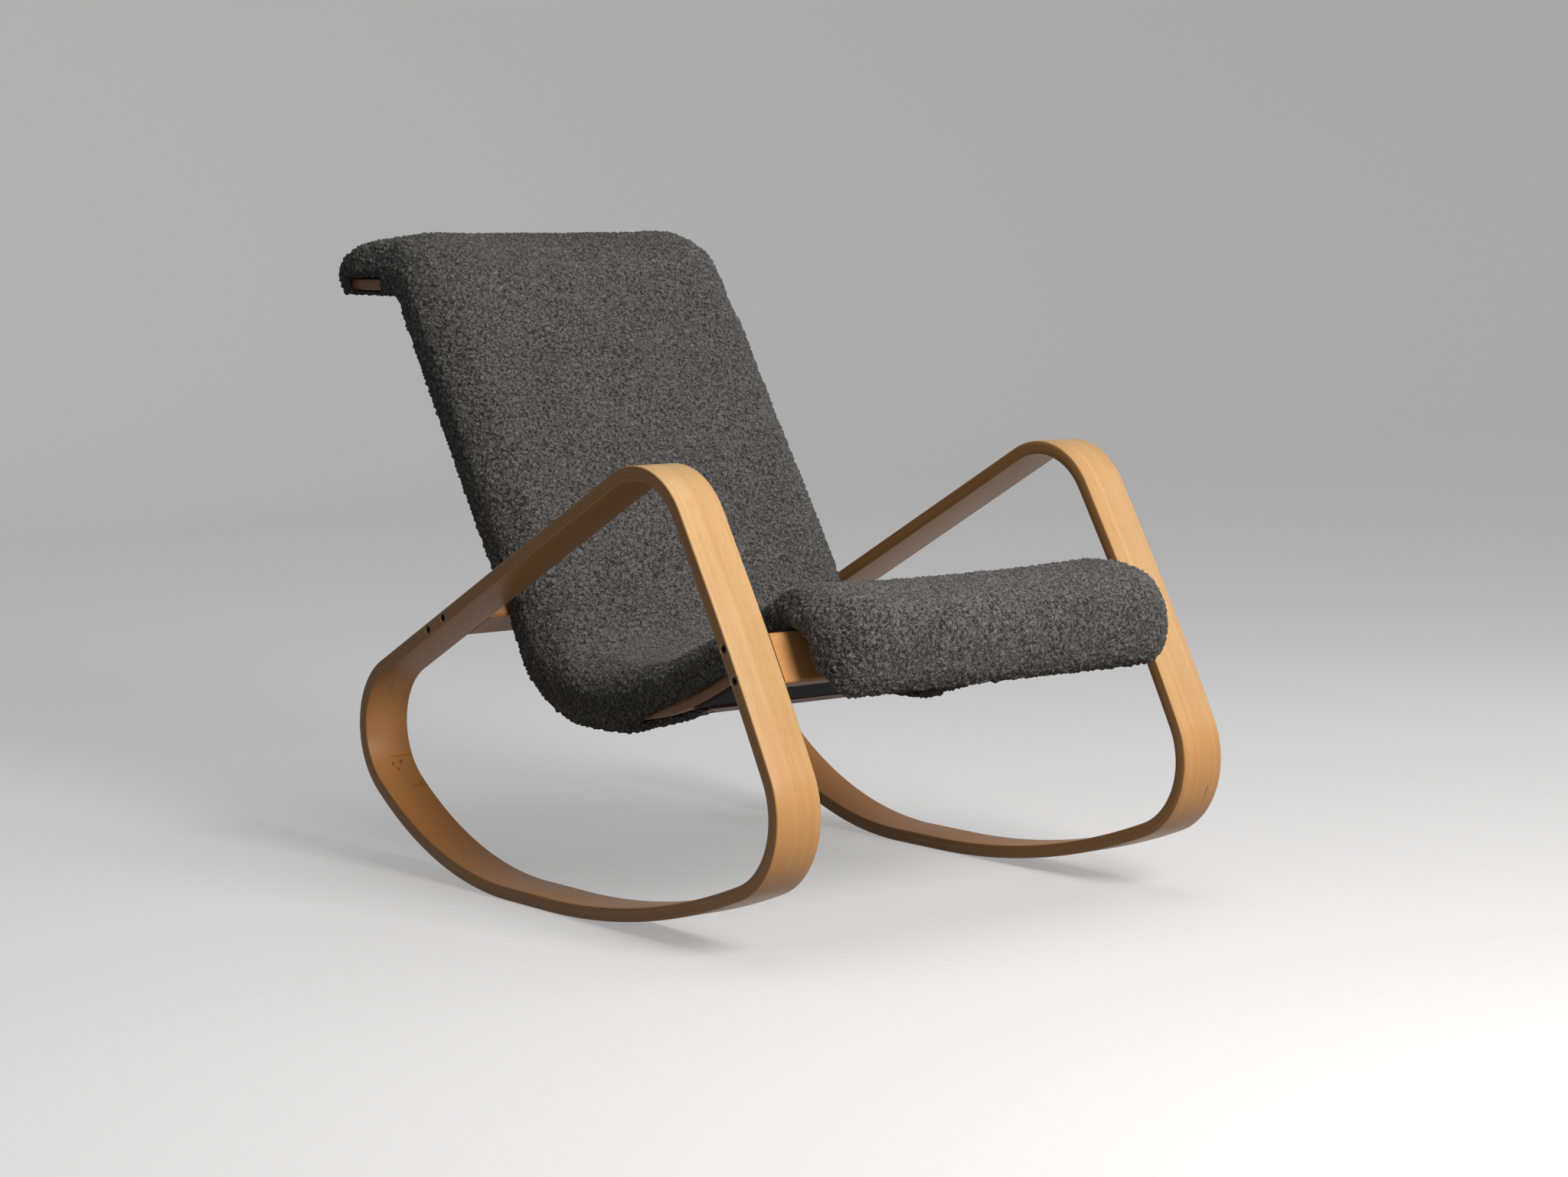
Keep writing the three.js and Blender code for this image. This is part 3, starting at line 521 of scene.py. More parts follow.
def bandSection(width, thickness, radius, steps=3):
    # Points of a rounded rectangle as across, level and how far the point is on an edge
    points = []
    corners = ((1, 0, -90), (1, 1, 0), (-1, 1, 90), (-1, 0, 180))
    for side, top, start in corners:
        for i in range(steps + 1):
            angle = radians(start + 90 * i / steps)
            middle = thickness - radius if top else radius
            across = side * (width / 2 - radius) + radius * cos(angle)
            level = middle + radius * sin(angle)
            points.append((across, level, abs(cos(angle))))
    return points


def addMesh(name, places, faces, smooth=True):
    mesh = bpy.data.meshes.new(name)
    mesh.from_pydata(places, [], faces)
    mesh.update()
    mesh.polygons.foreach_set("use_smooth", [smooth] * len(mesh.polygons))
    return addObject(name, mesh)


def tubeFaces(base, rings, count, closed=False, turn=1):
    # Faces round a tube of rings of points, with flat ends unless it closes on itself
    faces = []
    for ring in range(rings if closed else rings - 1):
        low, high = base + ring * count, base + (ring + 1) % rings * count
        for i in range(count):
            j = (i + 1) % count
            faces.append((low + i, low + j, high + j, high + i)[::turn])
    if not closed:
        last = base + (rings - 1) * count
        faces.append([base + i for i in range(count)][::-turn])
        faces.append([last + i for i in range(count)][::turn])
    return faces


def addBand(name, route, distances, dims, middle, closed, seat=None):
    # A band bent along a route; seat moves the points of its first ring
    section = bandSection(dims["width"], dims["thickness"], dims["edgeRadius"])
    count = len(section)
    places = []
    for distance in distances[:-1] if closed else distances:
        station = stationAt(route, distance)
        for across, level, _ in section:
            x, y = beside(station, level)
            if seat and distance == distances[0]:
                x, y = seat(x, y, station[2])
            places.append(toWorld(middle + across, x, y))
    rings = len(places) // count
    grain = []
    plies = []
    for ring in range(rings if closed else rings - 1):
        for i in range(count):
            j = (i + 1) % count
            for point, along in ((i, ring), (j, ring), (j, ring + 1), (i, ring + 1)):
                across, level, edge = section[point]
                grain.append((distances[along] / 1000, across / 1000))
                plies.append((level / 1000, edge))
    if not closed:
        for distance, order in ((distances[0], section[::-1]), (distances[-1], section)):
            grain += [(distance / 1000, across / 1000) for across, _, _ in order]
            plies += [(level / 1000, 1) for _, level, _ in order]
    band = addMesh(name, places, tubeFaces(0, rings, count, closed))
    for title, values in (("grain", grain), ("plies", plies)):
        layer = band.data.uv_layers.new(name=title)
        layer.data.foreach_set("uv", np.array(values, np.float32).ravel())
    if not closed:
        for face in band.data.polygons:
            face.use_smooth = len(face.vertices) == 4
    return band


def baked(piece):
    # Applies the modifiers of a piece
    graph = bpy.context.evaluated_depsgraph_get()
    mesh = bpy.data.meshes.new_from_object(piece.evaluated_get(graph))
    piece.modifiers.clear()
    piece.data = mesh
    return piece


def modified(piece, kind, **settings):
    modifier = piece.modifiers.new(kind.lower(), kind)
    for key, value in settings.items():
        setattr(modifier, key, value)
    return baked(piece)


boltDims = {
    "pitch": 37.5, "headHole": 10.6, "shankHole": 6.6, "depth": 7.8, "lip": 0.6, "sides": 32,
    "overrun": 2,
}


def railStation(height, rising):
    middle = loopDims["thickness"] / 2
    stations = [stationAt(loopRoute, place) for place in loopPlaces]
    for before, after in zip(stations, stations[1:]):
        low = beside(before, middle)
        high = beside(after, middle)
        inside = min(low[1], high[1]) <= height <= max(low[1], high[1])
        if inside and height > loopDims["heel"]["radius"] and rising == (high[1] > low[1]):
            share = (height - low[1]) / (high[1] - low[1])
            heading = before[2] + (after[2] - before[2]) * share
            return low[0] + (high[0] - low[0]) * share, height, heading
    raise ValueError("no band at this height")


frontRail = railStation(railDims["frontHeight"], False)
rearRail = railStation(railDims["rearHeight"], True)


def boltCentres():
    half = boltDims["pitch"] / 2
    return [(x + step * cos(heading), y + step * sin(heading))
            for x, y, heading in (frontRail, rearRail) for step in (-half, half)]


def addCutter(side):
    # The counterbores and shank holes of one loop, in one object
    outer = loopDims["overallWidth"] / 2
    inner = outer - loopDims["width"]
    places = []
    faces = []
    sides, lip, over = (boltDims[key] for key in ("sides", "lip", "overrun"))
    floor = outer - boltDims["depth"]
    head = boltDims["headHole"] / 2
    shank = boltDims["shankHole"] / 2
    profile = [
        (shank, inner - over), (shank, floor), (head, floor), (head, outer - lip),
        (head + lip, outer), (head + lip, outer + over),
    ]
    for x, y in boltCentres():
        base = len(places)
        for radius, across in profile:
            for i in range(sides):
                angle = 2 * pi * i / sides * side
                places.append(toWorld(
                    side * across, x + radius * cos(angle), y + radius * sin(angle)))
        faces += tubeFaces(base, len(profile), sides)
    return addMesh("cutter", places, faces, False)


def addLoops():
    middle = (loopDims["overallWidth"] - loopDims["width"]) / 2
    for name, side in (("right", -1), ("left", 1)):
        loop = addBand(f"{name}_side_loop", loopRoute, loopPlaces, loopDims, side * middle, True)
        cutter = addCutter(side)
        modified(loop, "BOOLEAN", object=cutter, solver="EXACT")
        bpy.data.objects.remove(cutter)
        loop.data.materials.clear()
        loop.data.materials.append(woodFinish(
            f"{name}_loop_veneer", "loop_veneer", 3.1 * side, marks=loopMarks[name]))
        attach(loop, "root")
        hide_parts(f"{name}_loop")


addLoops()
print("side loops bent")


# Shell: two bent rails that run from the front cross rail to the hook

def makeShellRoute():
    half = loopDims["thickness"] / 2
    gap = railDims["gap"]
    x, y, legHeading = frontRail
    top = (x - railDims["width"] / 2 * cos(legHeading),
           y - railDims["width"] / 2 * sin(legHeading), legHeading)
    topBack = beside(top, half + gap)
    heading = -radians(shellDims["seatSlope"])
    fall = shellDims["thickness"] / abs(cos(legHeading - heading - pi / 2))
    start = (topBack[0] + fall * cos(legHeading), topBack[1] + fall * sin(legHeading),
             heading)
    bends = [
        {"radius": shellDims["seatBendRadius"], "turn": shellDims["seatSlope"]},
        {"length": shellDims["seatFlat"]},
        {"radius": shellDims["backBendRadius"], "turn": shellDims["backSlope"]},
    ]
    after = makeRoute(start, bends)["end"]
    back = after[2]
    edge = railDims["edgeRadius"]
    reach = ((railDims["width"] / 2 - edge) * abs(sin(rearRail[2] - back))
             + (half - edge) * abs(cos(rearRail[2] - back)) + edge + gap)
    behind = (rearRail[0] - after[0]) * sin(back) - (rearRail[1] - after[1]) * cos(back)
    seatRun = (behind - reach) / sin(back - heading)
    runs = [
        {"length": seatRun}, *bends, {"length": shellDims["backLength"]},
        {"radius": shellDims["hookRadius"], "turn": -shellDims["backSlope"]},
        {"length": shellDims["hookLength"]},
    ]
    return makeRoute(start, runs)


shellRoute = makeShellRoute()
shellPlaces = distancesAlong(
    shellRoute, 0, shellRoute["length"], shellDims["bendStep"], shellDims["straightStep"])


def onFrontRail(x, y, heading):
    # Moves a point along its heading onto the back face of the front cross rail
    face = beside(frontRail, loopDims["thickness"] / 2 + railDims["gap"])
    leg = frontRail[2]
    run = ((face[0] - x) * sin(leg) - (face[1] - y) * cos(leg)) / sin(leg - heading)
    return x + run * cos(heading), y + run * sin(heading)


def addShellRails():
    middle = shellDims["outerFace"] - shellDims["width"] / 2
    for name, side in (("right", -1), ("left", 1)):
        rail = addBand(f"{name}_bent_rail", shellRoute, shellPlaces, shellDims, side * middle,
                       False, onFrontRail)
        rail.data.materials.append(woodFinish(f"{name}_shell_wood", "shell_wood", 1.7 * side))
        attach(rail, "root")
        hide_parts(f"{name}_shell_rail")


addShellRails()
print("shell rails bent")


# CAD pieces that keep their shape and get a better finish

def paint(names, material):
    for name in names:
        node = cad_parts[name]
        if not node.data.materials:
            node.data.materials.append(material)
        for slot in node.material_slots:
            slot.material = material


metalLooks = {
    "black_steel": ("_bolt", colour(0.018, 0.018, 0.018), 0.4, 0.5),
    "insert_brass": ("_insert", colour(0.55, 0.38, 0.14), 1.0, 0.35),
    "screw_zinc": ("shell_screw", colour(0.5, 0.5, 0.48), 1.0, 0.35),
}


def paintFrame():
    for name, station in (("front", frontRail), ("rear", rearRail)):
        heading = station[2]
        normal = (0, -sin(heading), cos(heading))
        # The cross rails' darker, more orange veneer is painted shade
        paint([f"{name}_cross_rail"], woodFinish(
            f"{name}_rail_veneer", "rail_veneer", station[1] / 100, normal))
    slats = [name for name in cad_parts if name.endswith(("_slat", "_batten"))]
    for place, name in enumerate(slats):
        normal = (0, 0, 1)
        if name != "head_slat":
            low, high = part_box(name)
            size = hypot(high.z - low.z, high.y - low.y)
            normal = (0, (low.z - high.z) / size, (high.y - low.y) / size)
        paint([name], woodFinish(f"{name}_wood", "slat_wood", place * 2.3, normal))
    for slot, (mark, *look) in metalLooks.items():
        paint([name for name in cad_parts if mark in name], metalFinish(slot, *look))


paintFrame()
print("frame painted")


# Webbing and lining on the shell rails, and the dust cloth and its batten under them

clothDims = {
    "strapLevel": 15.4, "strapSag": 2.2, "strapThickness": 1.8,
    "dustLevel": -1.2, "dustThickness": 0.7, "dustHalfWidth": 230, "dustSag": 3, "ripple": 0.5,
    "waveAcross": 0.02, "waveAlong": 0.012,
    "liningLevel": 4.6, "battenLevel": -3.6, "battenThickness": 3.5, "battenEdge": 0.6,
    "battenRows": 24, "battenHalfLength": 208, "battenGrip": 6, "dustBegin": 4, "gridStep": 12,
}


shellStations = [(place, stationAt(shellRoute, place)) for place in shellPlaces]


def spanOf(node):
    # The stretch of the shell that a CAD node covers
    runs = []
    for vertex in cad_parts[node].data.vertices:
        x, y = (vertex.co.y - originY) * 1000, vertex.co.z * 1000
        place, (nearX, nearY, heading) = min(
            shellStations, key=lambda item: (x - item[1][0]) ** 2 + (y - item[1][1]) ** 2)
        runs.append(place + ((x - nearX) * cos(heading) + (y - nearY) * sin(heading)))
    return max(0, min(runs)), min(shellRoute["length"], max(runs))


def addLayer(name, begin, end, level, thickness, halfWidth, sag, ripple):
    # A thin cloth across the shell rails, dipping by sag in its middle
    step = clothDims["gridStep"]
    distances = distancesAlong(shellRoute, begin, end, step, step)
    columns = max(2, round(2 * halfWidth / step))
    places = []
    for distance in distances:
        station = stationAt(shellRoute, distance)
        for column in range(columns + 1):
            across = halfWidth * (2 * column / columns - 1)
            drop = sag * (1 - (across / halfWidth) ** 2)
            seed = Vector((across * clothDims["waveAcross"], distance * clothDims["waveAlong"],
                           level))
            x, y = beside(station, level - drop + ripple * noise.noise(seed))
            if distance == 0:
                x, y = onFrontRail(x, y, station[2])
            places.append(toWorld(across, x, y))
    faces = []
    for row in range(len(distances) - 1):
        for column in range(columns):
            a = row * (columns + 1) + column
            faces.append((a, a + columns + 1, a + columns + 2, a + 1))
    layer = addMesh(name, places, faces)
    return modified(layer, "SOLIDIFY", thickness=thickness / 1000, offset=0)


def addBatten():
    # The wooden strip that holds the dust cloth's rear edge under the rails
    dims = clothDims
    begin, end = spanOf("cloth_batten")
    places = []
    low = dims["battenLevel"] - dims["battenThickness"] / 2
    section = bandSection(end - begin, dims["battenThickness"], dims["battenEdge"])
    station = stationAt(shellRoute, (begin + end) / 2)
    for row in range(dims["battenRows"] + 1):
        across = dims["battenHalfLength"] * (2 * row / dims["battenRows"] - 1)
        for along, level, _ in section:
            x, y = beside(station, low + level)
            x += along * cos(station[2])
            y += along * sin(station[2])
            places.append(toWorld(across, x, y))
    faces = tubeFaces(0, dims["battenRows"] + 1, len(section), turn=-1)
    batten = addMesh("cloth_batten_strip", places, faces, False)
    normal = (0, -sin(station[2]), cos(station[2]))
    # The batten's near-black colour is painted shade
    batten.data.materials.append(woodFinish("shaded_batten_wood", "shaded_batten_wood", 9.2, normal))
    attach(batten, "root")
    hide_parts("cloth_batten")


def addCloths():
    dims = clothDims
    webbing = wovenFinish("strap_webbing")
    dust = wovenFinish("lining_cloth")
    for node in [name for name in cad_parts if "_strap_" in name]:
        begin, end = spanOf(node)
        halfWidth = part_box(node)[1].x * 1000
        strap = addLayer(f"{node}_webbing", begin, end, dims["strapLevel"],
                         dims["strapThickness"], halfWidth, dims["strapSag"], 0)
        strap.data.materials.append(webbing)
        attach(strap, "root")
        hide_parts(node)
    batten = spanOf("cloth_batten")
    sheets = {
        "underseat_cloth": (dims["dustLevel"], dims["dustHalfWidth"], dims["dustSag"],
                            dims["dustBegin"], batten[0] + dims["battenGrip"]),
        "back_lining": (dims["liningLevel"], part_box("back_lining")[1].x * 1000, 0,
                        *spanOf("back_lining")),
    }
    for node, (level, halfWidth, sag, begin, end) in sheets.items():
        cloth = addLayer(f"{node}_sheet", begin, end, level, dims["dustThickness"], halfWidth,
                         sag, dims["ripple"])
        cloth.data.materials.append(dust)
        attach(cloth, "root")
        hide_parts(node)


addCloths()
addBatten()
print("webbing and linings laid")


# Upholstery: the pad and its wrap, swollen by a short cloth simulation, then given its pile

# padDims are in metres, the others in millimetres

padDims = {
    "voxel": 0.005, "smoothing": 7, "tuft": 0.0062, "tuftHeight": 0.0032, "tuftSharpness": 1.6,
    "wanderScale": 120, "wander": 0.0022, "lift": 0.0002,
}
swellDims = {
    "frames": 14, "cap": 3.5, "loose": (18, 20),
    "cloth": {"use_pressure": True, "uniform_pressure_force": 4, "quality": 4,
              "tension_stiffness": 25, "compression_stiffness": 25, "bending_stiffness": 2},
}
# Where the pile is left out: on the rails' bare sides, and where the pad faces the rails
bareDims = {
    "from": 210, "to": 234.8, "depth": 230.6, "below": 1.5, "above": -1,
    "begin": 190, "endMargin": 4, "facing": -0.5, "innerLevel": 8, "innerTo": 234,
}
wrapDims = {
    "barStep": 8, "cutFrom": 231.3, "cutBegin": 200, "footMargin": 6, "footLevel": -0.2,
    "seam": {"begin": 222, "end": 318, "high": 18, "low": -3, "bareFoot": 216},
    "lap": {"begin": 205, "end": 334, "low": -4.5, "droop": 6},
    "headEnd": {"begin": 1177.4, "end": 1202, "low": -4.5, "rise": 14},
}
# Soft steps: where each begins and over what length it rises, backwards if that is negative
hangDims = {"depth": 5, "begin": (298, 26), "end": (600, -90), "level": (12, -14)}
headDims = {
    "full": 7, "fullAcross": (198, 40), "fullRun": (1095, 60), "fullLevel": (16, 8),
    "crest": 6, "crestAcross": (165, 70), "crestBegin": (960, 50), "crestEnd": (1120, -50),
    "crestLevel": (22, 20),
}
rollDims = {
    "lip": 9.5, "lipFront": (-425, -12), "lipHeight": (332, -30),
    "bulge": 11, "middle": (-409, 336), "radius": 57, "falloff": 0.45,
    "bulgeAcross": (195, 48), "bulgeRear": (-345, -35),
    "tuck": 26, "tuckAcross": (180, 63), "tuckFront": (-412, 27), "tuckRear": (-345, -26),
    "tuckLow": (298, 26), "tuckHigh": (366, -36),
}
frameDims = {"bendStep": 5, "straightStep": 10, "beyond": (8, 16, 24, 32), "chunk": 20000}


def gather(meshes):
    # Places and faces of several meshes together
    places = []
    faces = []
    for mesh in meshes:
        base = len(places)
        places += [tuple(vertex.co) for vertex in mesh.vertices]
        faces += [[base + corner for corner in face.vertices] for face in mesh.polygons]
    return places, faces


def addStrip(places, faces, begin, end, inner, outer, low, high):
    # A closed bar along the shell, between two distances across; levels may be functions
    count = max(1, ceil((end - begin) / wrapDims["barStep"]))
    base = len(places)
    for row in range(count + 1):
        distance = begin + (end - begin) * row / count
        station = stationAt(shellRoute, distance)
        bottom = low(distance) if callable(low) else low
        top = high(distance) if callable(high) else high
        for across, level in ((inner, bottom), (outer, bottom), (outer, top), (inner, top)):
            places.append(tuple(toWorld(across, *beside(station, level))))
    faces += tubeFaces(base, count + 1, 4, turn=1 if outer > inner else -1)


def shareOf(stretch, distance):
    return (distance - stretch["begin"]) / (stretch["end"] - stretch["begin"])


def seamLevel(distance):
    # Where the slanting edge of the cloth crosses the rail's side
    seam = wrapDims["seam"]
    share = np.clip(shareOf(seam, distance), 0, 1)
    return seam["high"] + (seam["low"] - seam["high"]) * share


def lapLevel(distance):
    # Underside of the lap, which hangs lower towards the seat's bend
    lap = wrapDims["lap"]
    return lap["low"] - lap["droop"] * shareOf(lap, distance) ** 2


def headEndLevel(distance):
    # Underside of the cloth as it rounds the end of the head
    head = wrapDims["headEnd"]
    return head["low"] + head["rise"] * shareOf(head, distance) ** 2.5


# Bars of the wrap: begin and end along the shell, two distances across, low and high level.
# On each side: edge, hook edge, slanting seam, seat lap, hook skirt and hook lap.
sideBars = [
    (24, 1094, 222, 241, 13, 24), (1086, 1165, 222, 241, 18, 26),
    (222, 318, 232.4, 241, seamLevel, 20), (205, 334, 188, 217, lapLevel, 0.5),
    (1005, 1094, 232.4, 241, -4.5, 19), (1005, 1183, 198, 230, -4.5, 0.5),
]
headBars = [(1160, 1186, -241, 241, -4.5, 0.5), (1177.4, 1202, -235, 235, headEndLevel, 26)]


def addWrapStrips(places, faces):
    for side in (-1, 1):
        for begin, end, inner, outer, low, high in sideBars:
            addStrip(places, faces, begin, end, side * inner, side * outer, low, high)
    for bar in headBars:
        addStrip(places, faces, *bar)


def pointValues(piece, name):
    values = np.empty(len(piece.data.vertices) * 3, np.float32)
    piece.data.vertices.foreach_get(name, values)
    return values.reshape(-1, 3).astype(float)


def move(piece, places):
    piece.data.vertices.foreach_set("co", places.astype(np.float32).ravel())
    piece.data.update()


def keepOuterSkin(piece):
    # Removes closed pockets inside the remeshed pad
    mesh = piece.data
    links = np.empty(len(mesh.edges) * 2, np.int32)
    mesh.edges.foreach_get("vertices", links)
    links = links.reshape(-1, 2)
    label = np.arange(len(mesh.vertices))
    while True:
        low = np.minimum(label[links[:, 0]], label[links[:, 1]])
        fresh = label.copy()
        np.minimum.at(fresh, links[:, 0], low)
        np.minimum.at(fresh, links[:, 1], low)
        fresh = fresh[fresh]
        if np.array_equal(fresh, label):
            break
        label = fresh
    values, sizes = np.unique(label, return_counts=True)
    print("pad skins", len(values), sizes.max(), "of", sizes.sum())
    keep = label == values[sizes.argmax()]
    order = np.cumsum(keep) - 1
    places = pointValues(piece, "co")[keep]
    faces = [[int(order[v]) for v in face.vertices] for face in mesh.polygons
             if keep[face.vertices[0]]]
    return addMesh(piece.name + "_skin", [tuple(p) for p in places], faces)


def shellFrame(places):
    # Distance along the shell, level above the rails' lower faces and their normal there
    dims = frameDims
    length = shellRoute["length"]
    distances = distancesAlong(shellRoute, 0, length, dims["bendStep"], dims["straightStep"])
    distances += [length + step for step in dims["beyond"]]
    stations = [stationAt(shellRoute, place) for place in distances]
    middle = np.array([toWorld(0, x, y)[1:] for x, y, _ in stations])
    up = np.array([(-sin(h), cos(h)) for _, _, h in stations])
    ahead = np.stack([up[:, 1], -up[:, 0]], 1)
    run = np.empty(len(places))
    levels = np.empty(len(places))
    facing = np.empty((len(places), 2))
    for begin in range(0, len(places), dims["chunk"]):
        part = slice(begin, begin + dims["chunk"])
        off = places[part, None, 1:] - middle[None, :, :]
        near = (off ** 2).sum(2).argmin(1)
        off = off[np.arange(len(near)), near]
        levels[part] = (off * up[near]).sum(1) * 1000
        run[part] = np.array(distances)[near] + (off * ahead[near]).sum(1) * 1000
        facing[part] = up[near]
    return run, levels, facing


def survey(piece):
    # Places of a piece's points, how far across each lies, and where it is on the shell
    places = pointValues(piece, "co")
    return places, np.abs(places[:, 0]) * 1000, *shellFrame(places)


def ease(values):
    values = np.clip(values, 0, 1)
    return values * values * (3 - 2 * values)


def product(*steps):
    # Product of soft steps, each given as values, begin and rise
    made = 1
    for values, (begin, rise) in steps:
        made = made * ease((values - begin) / rise)
    return made


def cutSeam(piece):
    # Draws the cloth on the rail's side back to its slanting seam, and lets the wrap hang
    dims, hang = wrapDims, hangDims
    seam = dims["seam"]
    places, across, run, levels, facing = survey(piece)
    gap = seamLevel(run) - levels
    chosen = (across > dims["cutFrom"]) & (run > dims["cutBegin"]) & (run < seam["end"])
    chosen &= gap > 0
    places[chosen, 1:] += facing[chosen] * gap[chosen, None] / 1000
    drop = product((run, hang["begin"]), (run, hang["end"]), (levels, hang["level"]))
    places[:, 1:] -= facing * (drop * hang["depth"] / 1000)[:, None]
    foot = (across > seam["bareFoot"]) & (levels < dims["footLevel"]) & ~chosen
    foot &= (run > dims["cutBegin"]) & (run < seam["end"] - dims["footMargin"])
    places[foot, 1:] -= facing[foot] * levels[foot, None] / 1000
    move(piece, places)


def shapeHead(piece):
    # Fills the ends of the headrest and rounds its crest off towards the sides
    dims = headDims
    places, across, run, levels, facing = survey(piece)
    full = product((across, dims["fullAcross"]), (run, dims["fullRun"]),
                   (levels, dims["fullLevel"])) * dims["full"] / 1000
    crest = product((run, dims["crestBegin"]), (run, dims["crestEnd"]),
                    (across, dims["crestAcross"]), (levels, dims["crestLevel"]))
    crest *= dims["crest"] / 1000
    places += pointValues(piece, "normal") * full[:, None]
    places[:, 1:] -= facing * crest[:, None]
    move(piece, places)


def fillRoll(piece):
    # Lets the front roll's lip hang lower, fills out its ends and draws the pad in behind them
    dims = rollDims
    places = pointValues(piece, "co")
    x = (places[:, 1] - originY) * 1000
    y = places[:, 2] * 1000
    across = np.abs(places[:, 0]) * 1000
    drop = product((x, dims["lipFront"]), (y, dims["lipHeight"])) * dims["lip"] / 1000
    reach = np.hypot(x - dims["middle"][0], y - dims["middle"][1]) / dims["radius"]
    bulge = product((across, dims["bulgeAcross"]), (x, dims["bulgeRear"]))
    bulge *= np.clip(1 - dims["falloff"] * reach ** 2, 0, 1) * dims["bulge"]
    tuck = product((x, dims["tuckFront"]), (x, dims["tuckRear"]), (y, dims["tuckLow"]),
                   (y, dims["tuckHigh"]), (across, dims["tuckAcross"])) * dims["tuck"]
    places[:, 2] -= drop
    places[:, 0] += np.sign(places[:, 0]) * (bulge - tuck) / 1000
    move(piece, places)


def swell(piece):
    # Blows the pad up a little, most where it is thick
    dims = swellDims
    before = pointValues(piece, "co")
    cloth = piece.modifiers.new("swell", "CLOTH")
    for key, value in dims["cloth"].items():
        setattr(cloth.settings, key, value)
    cloth.settings.effector_weights.gravity = 0
    cloth.collision_settings.use_collision = False
    cloth.point_cache.frame_start = 1
    cloth.point_cache.frame_end = dims["frames"]
    for step in range(1, dims["frames"] + 1):
        bpy.context.scene.frame_set(step)
    baked(piece)
    bpy.context.scene.frame_set(1)
    shift = pointValues(piece, "co") - before
    size = np.linalg.norm(shift, axis=1, keepdims=True)
    shift *= np.minimum(1, dims["cap"] / 1000 / np.maximum(size, 1e-9))
    _, levels, _ = shellFrame(before)
    begin, rise = dims["loose"]
    loose = np.clip((levels - begin) / rise, 0, 1)[:, None]
    move(piece, before + shift * loose)


def tuftHeight(point):
    # Height from 0 to 1 of rounded tufts around scattered points
    wander = noise.noise_vector(point * padDims["wanderScale"]) * padDims["wander"]
    distances, _ = noise.voronoi((point + wander) / padDims["tuft"])
    return min(1, (distances[1] - distances[0]) * padDims["tuftSharpness"])


def addPile(piece):
    # Draws the cloth's edge in over the rails' bare sides, then raises tufts on the rest
    dims = bareDims
    places, across, run, levels, facing = survey(piece)
    outward = pointValues(piece, "normal")
    bare = (across < dims["to"]) & (across > dims["from"]) & (levels > dims["above"])
    bare &= levels < seamLevel(run) - dims["below"]
    bare &= (run > dims["begin"]) & (run < wrapDims["seam"]["end"] - dims["endMargin"])
    places[bare, 0] *= (np.minimum(across, dims["depth"]) / across)[bare]
    down = (outward[:, 1:] * facing).sum(1)
    hidden = (down < dims["facing"]) & (levels > dims["innerLevel"])
    hidden = hidden & (across < dims["innerTo"]) | bare
    heights = np.zeros(len(places))
    for i in np.flatnonzero(~hidden):
        heights[i] = tuftHeight(Vector(places[i]))
    attribute = piece.data.attributes.new("pile", "FLOAT", "POINT")
    attribute.data.foreach_set("value", heights.astype(np.float32))
    lift = heights * padDims["tuftHeight"] + np.where(hidden, 0, padDims["lift"])
    move(piece, places + outward * lift[:, None])


def remeshed(piece):
    return modified(piece, "REMESH", mode="VOXEL", voxel_size=padDims["voxel"])


def addPad():
    form = addMesh("pad_form", *gather(
        [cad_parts[node].data for node in ("foam_pad", "seat_cover")]))
    for step in (remeshed, cutSeam, fillRoll, shapeHead):
        step(form)
    places, faces = gather([form.data])
    addWrapStrips(places, faces)
    rough = addMesh("pad_rough", places, faces)
    remeshed(rough)
    pad = keepOuterSkin(rough)
    for spent in (form, rough):
        bpy.data.objects.remove(spent)
    pad.name = "curly_upholstery"
    modified(pad, "SMOOTH", iterations=padDims["smoothing"], factor=0.5)
    swell(pad)
    modified(pad, "SUBSURF", levels=1, render_levels=1)
    addPile(pad)
    pad.data.materials.clear()
    pad.data.materials.append(curlyFinish())
    pad.data.polygons.foreach_set("use_smooth", [True] * len(pad.data.polygons))
    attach(pad, "root")
    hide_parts("seat_cover", "foam_pad")
    print("pad points", len(pad.data.vertices))


addPad()
print("pad upholstered")


# Studio: a pale floor that curves up into a backdrop, and soft lamps

studioDims = {
    "front": -6, "back": 4.5, "halfWidth": 9, "rise": 5, "bend": 1.5, "bendSteps": 12,
    "level": -0.0003, "speck": 60.0,
    "seen": colour(0.5, 0.5, 0.51), "bounce": colour(0.17, 0.165, 0.16), "glow": 0.33,
    "world": colour(1.0, 0.98, 0.96), "worldStrength": 0.12,
}


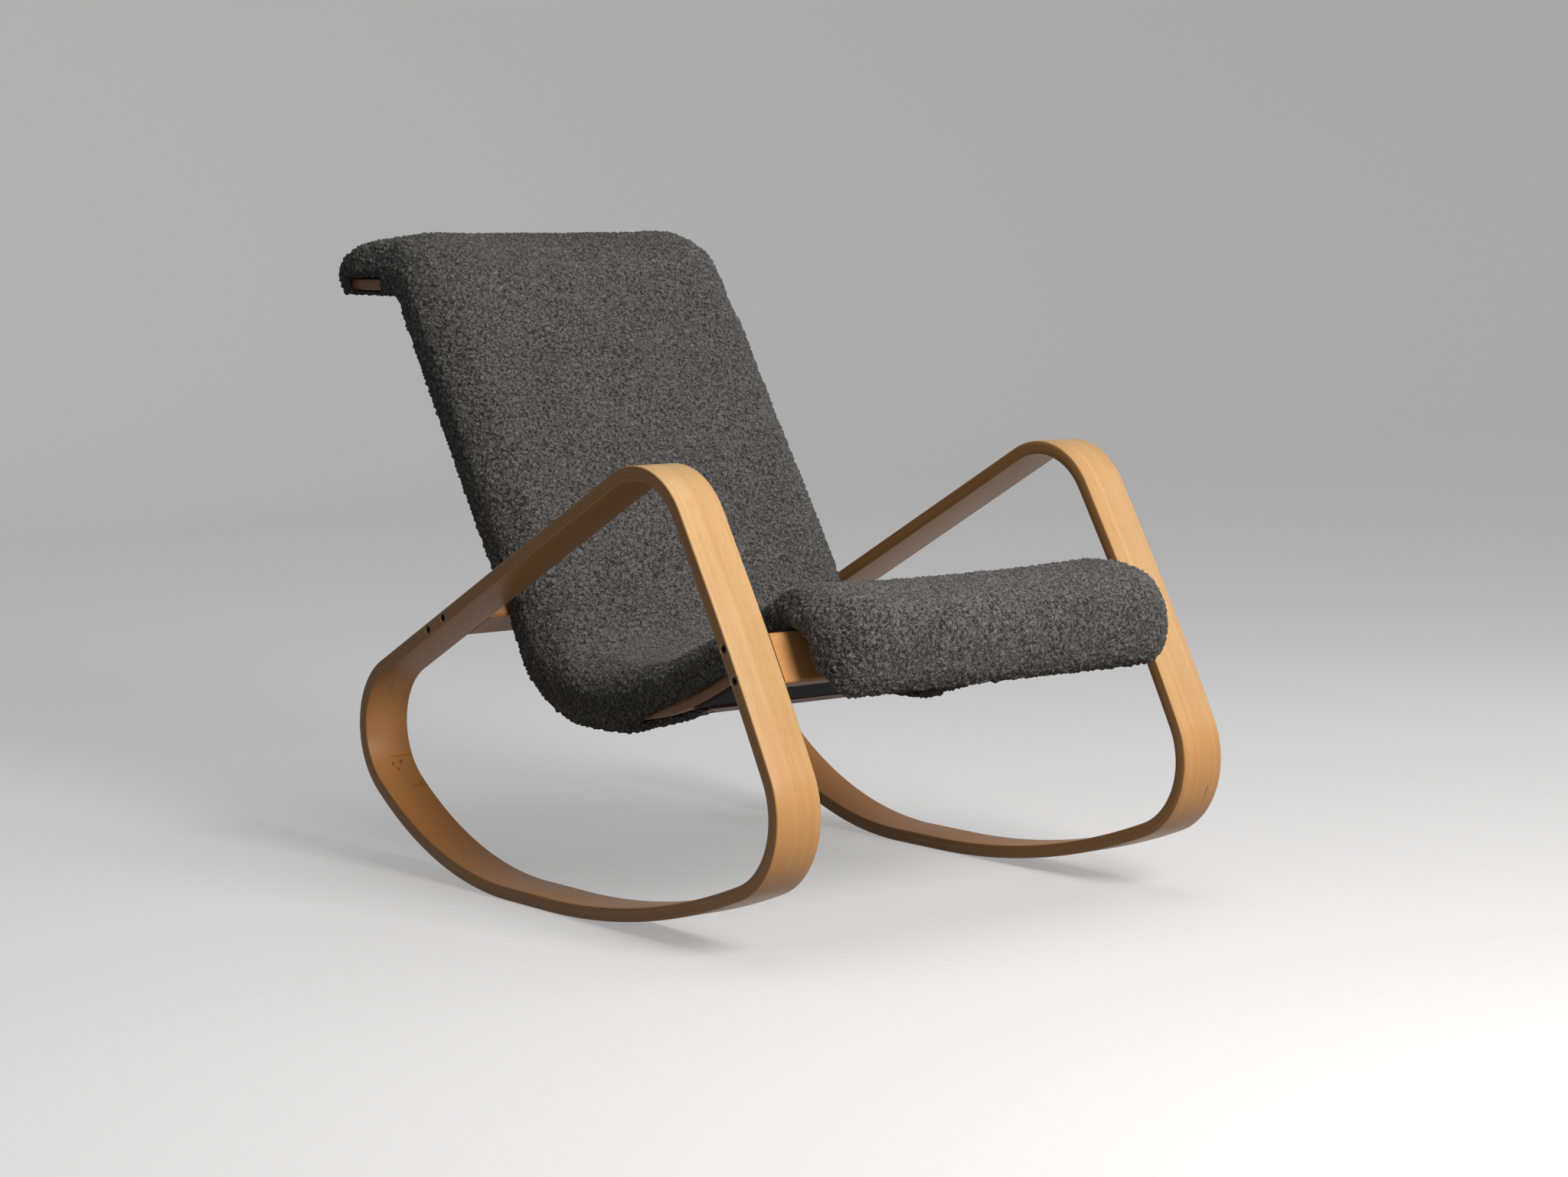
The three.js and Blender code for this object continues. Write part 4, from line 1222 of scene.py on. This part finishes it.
def addStudio():
    dims = studioDims
    profile = [(dims["front"], dims["level"])]
    for i in range(dims["bendSteps"] + 1):
        angle = radians(90 * i / dims["bendSteps"])
        profile.append((dims["back"] + dims["bend"] * sin(angle),
                        dims["level"] + dims["bend"] * (1 - cos(angle))))
    profile.append((dims["back"] + dims["bend"], dims["rise"]))
    places = [(side * dims["halfWidth"], y, z) for y, z in profile for side in (-1, 1)]
    faces = [(2 * i, 2 * i + 1, 2 * i + 3, 2 * i + 2) for i in range(len(profile) - 1)]
    sweep = addMesh("studio_floor", places, faces)
    finish = Finish("studio_floor", Specular_IOR_Level=0.1, Emission_Strength=1.0)
    camera, glossy, transmission = (
        finish.node("ShaderNodeLightPath", output=output) for output in (0, 3, 6))
    seen = camera.orMore(glossy).orMore(transmission)
    speck = finish.noise(finish.place(), dims["speck"], 3.0)
    shown = finish.mix(speck * 0.06, dims["seen"], colour(0, 0, 0))
    glow = colour(*[dims["glow"]] * 3)
    sweep.data.materials.append(finish.set(
        Base_Color=finish.mix(seen, dims["bounce"], shown), Roughness=0.6 + speck * 0.2,
        Emission_Color=finish.mix(seen, colour(0, 0, 0), glow)))
    world = bpy.data.worlds.new("studio")
    bpy.context.scene.world = world
    world.use_nodes = True
    background = world.node_tree.nodes["Background"]
    background.inputs["Color"].default_value = dims["world"]
    background.inputs["Strength"].default_value = dims["worldStrength"]


lamps = {
    "key": {"place": (-0.1, -2.5, 1.65), "size": 1.1, "power": 71, "tint": (1, 0.975, 0.94)},
    "side": {"place": (2.6, -1.2, 1.6), "size": 1.6, "power": 14, "tint": (1, 0.98, 0.96)},
    "fill": {"place": (-2.8, -0.9, 1.4), "size": 2.2, "power": 6, "tint": (0.95, 0.97, 1)},
    "top": {"place": (0.3, -0.4, 3.0), "size": 2.2, "power": 21, "tint": (1, 1, 1)},
}


def addLamps():
    target = Vector((0, 0, 0.4))
    for name, lamp in lamps.items():
        data = bpy.data.lights.new(name, "AREA")
        data.shape = "DISK"
        data.size = lamp["size"]
        data.energy = lamp["power"]
        data.color = lamp["tint"]
        made = addObject(name, data)
        made.location = lamp["place"]
        made.visible_camera = False
        aim = target - made.location
        made.rotation_euler = aim.to_track_quat("-Z", "Y").to_euler()


addStudio()
addLamps()
bpy.context.scene.view_settings.view_transform = "Standard"
print("studio lit")
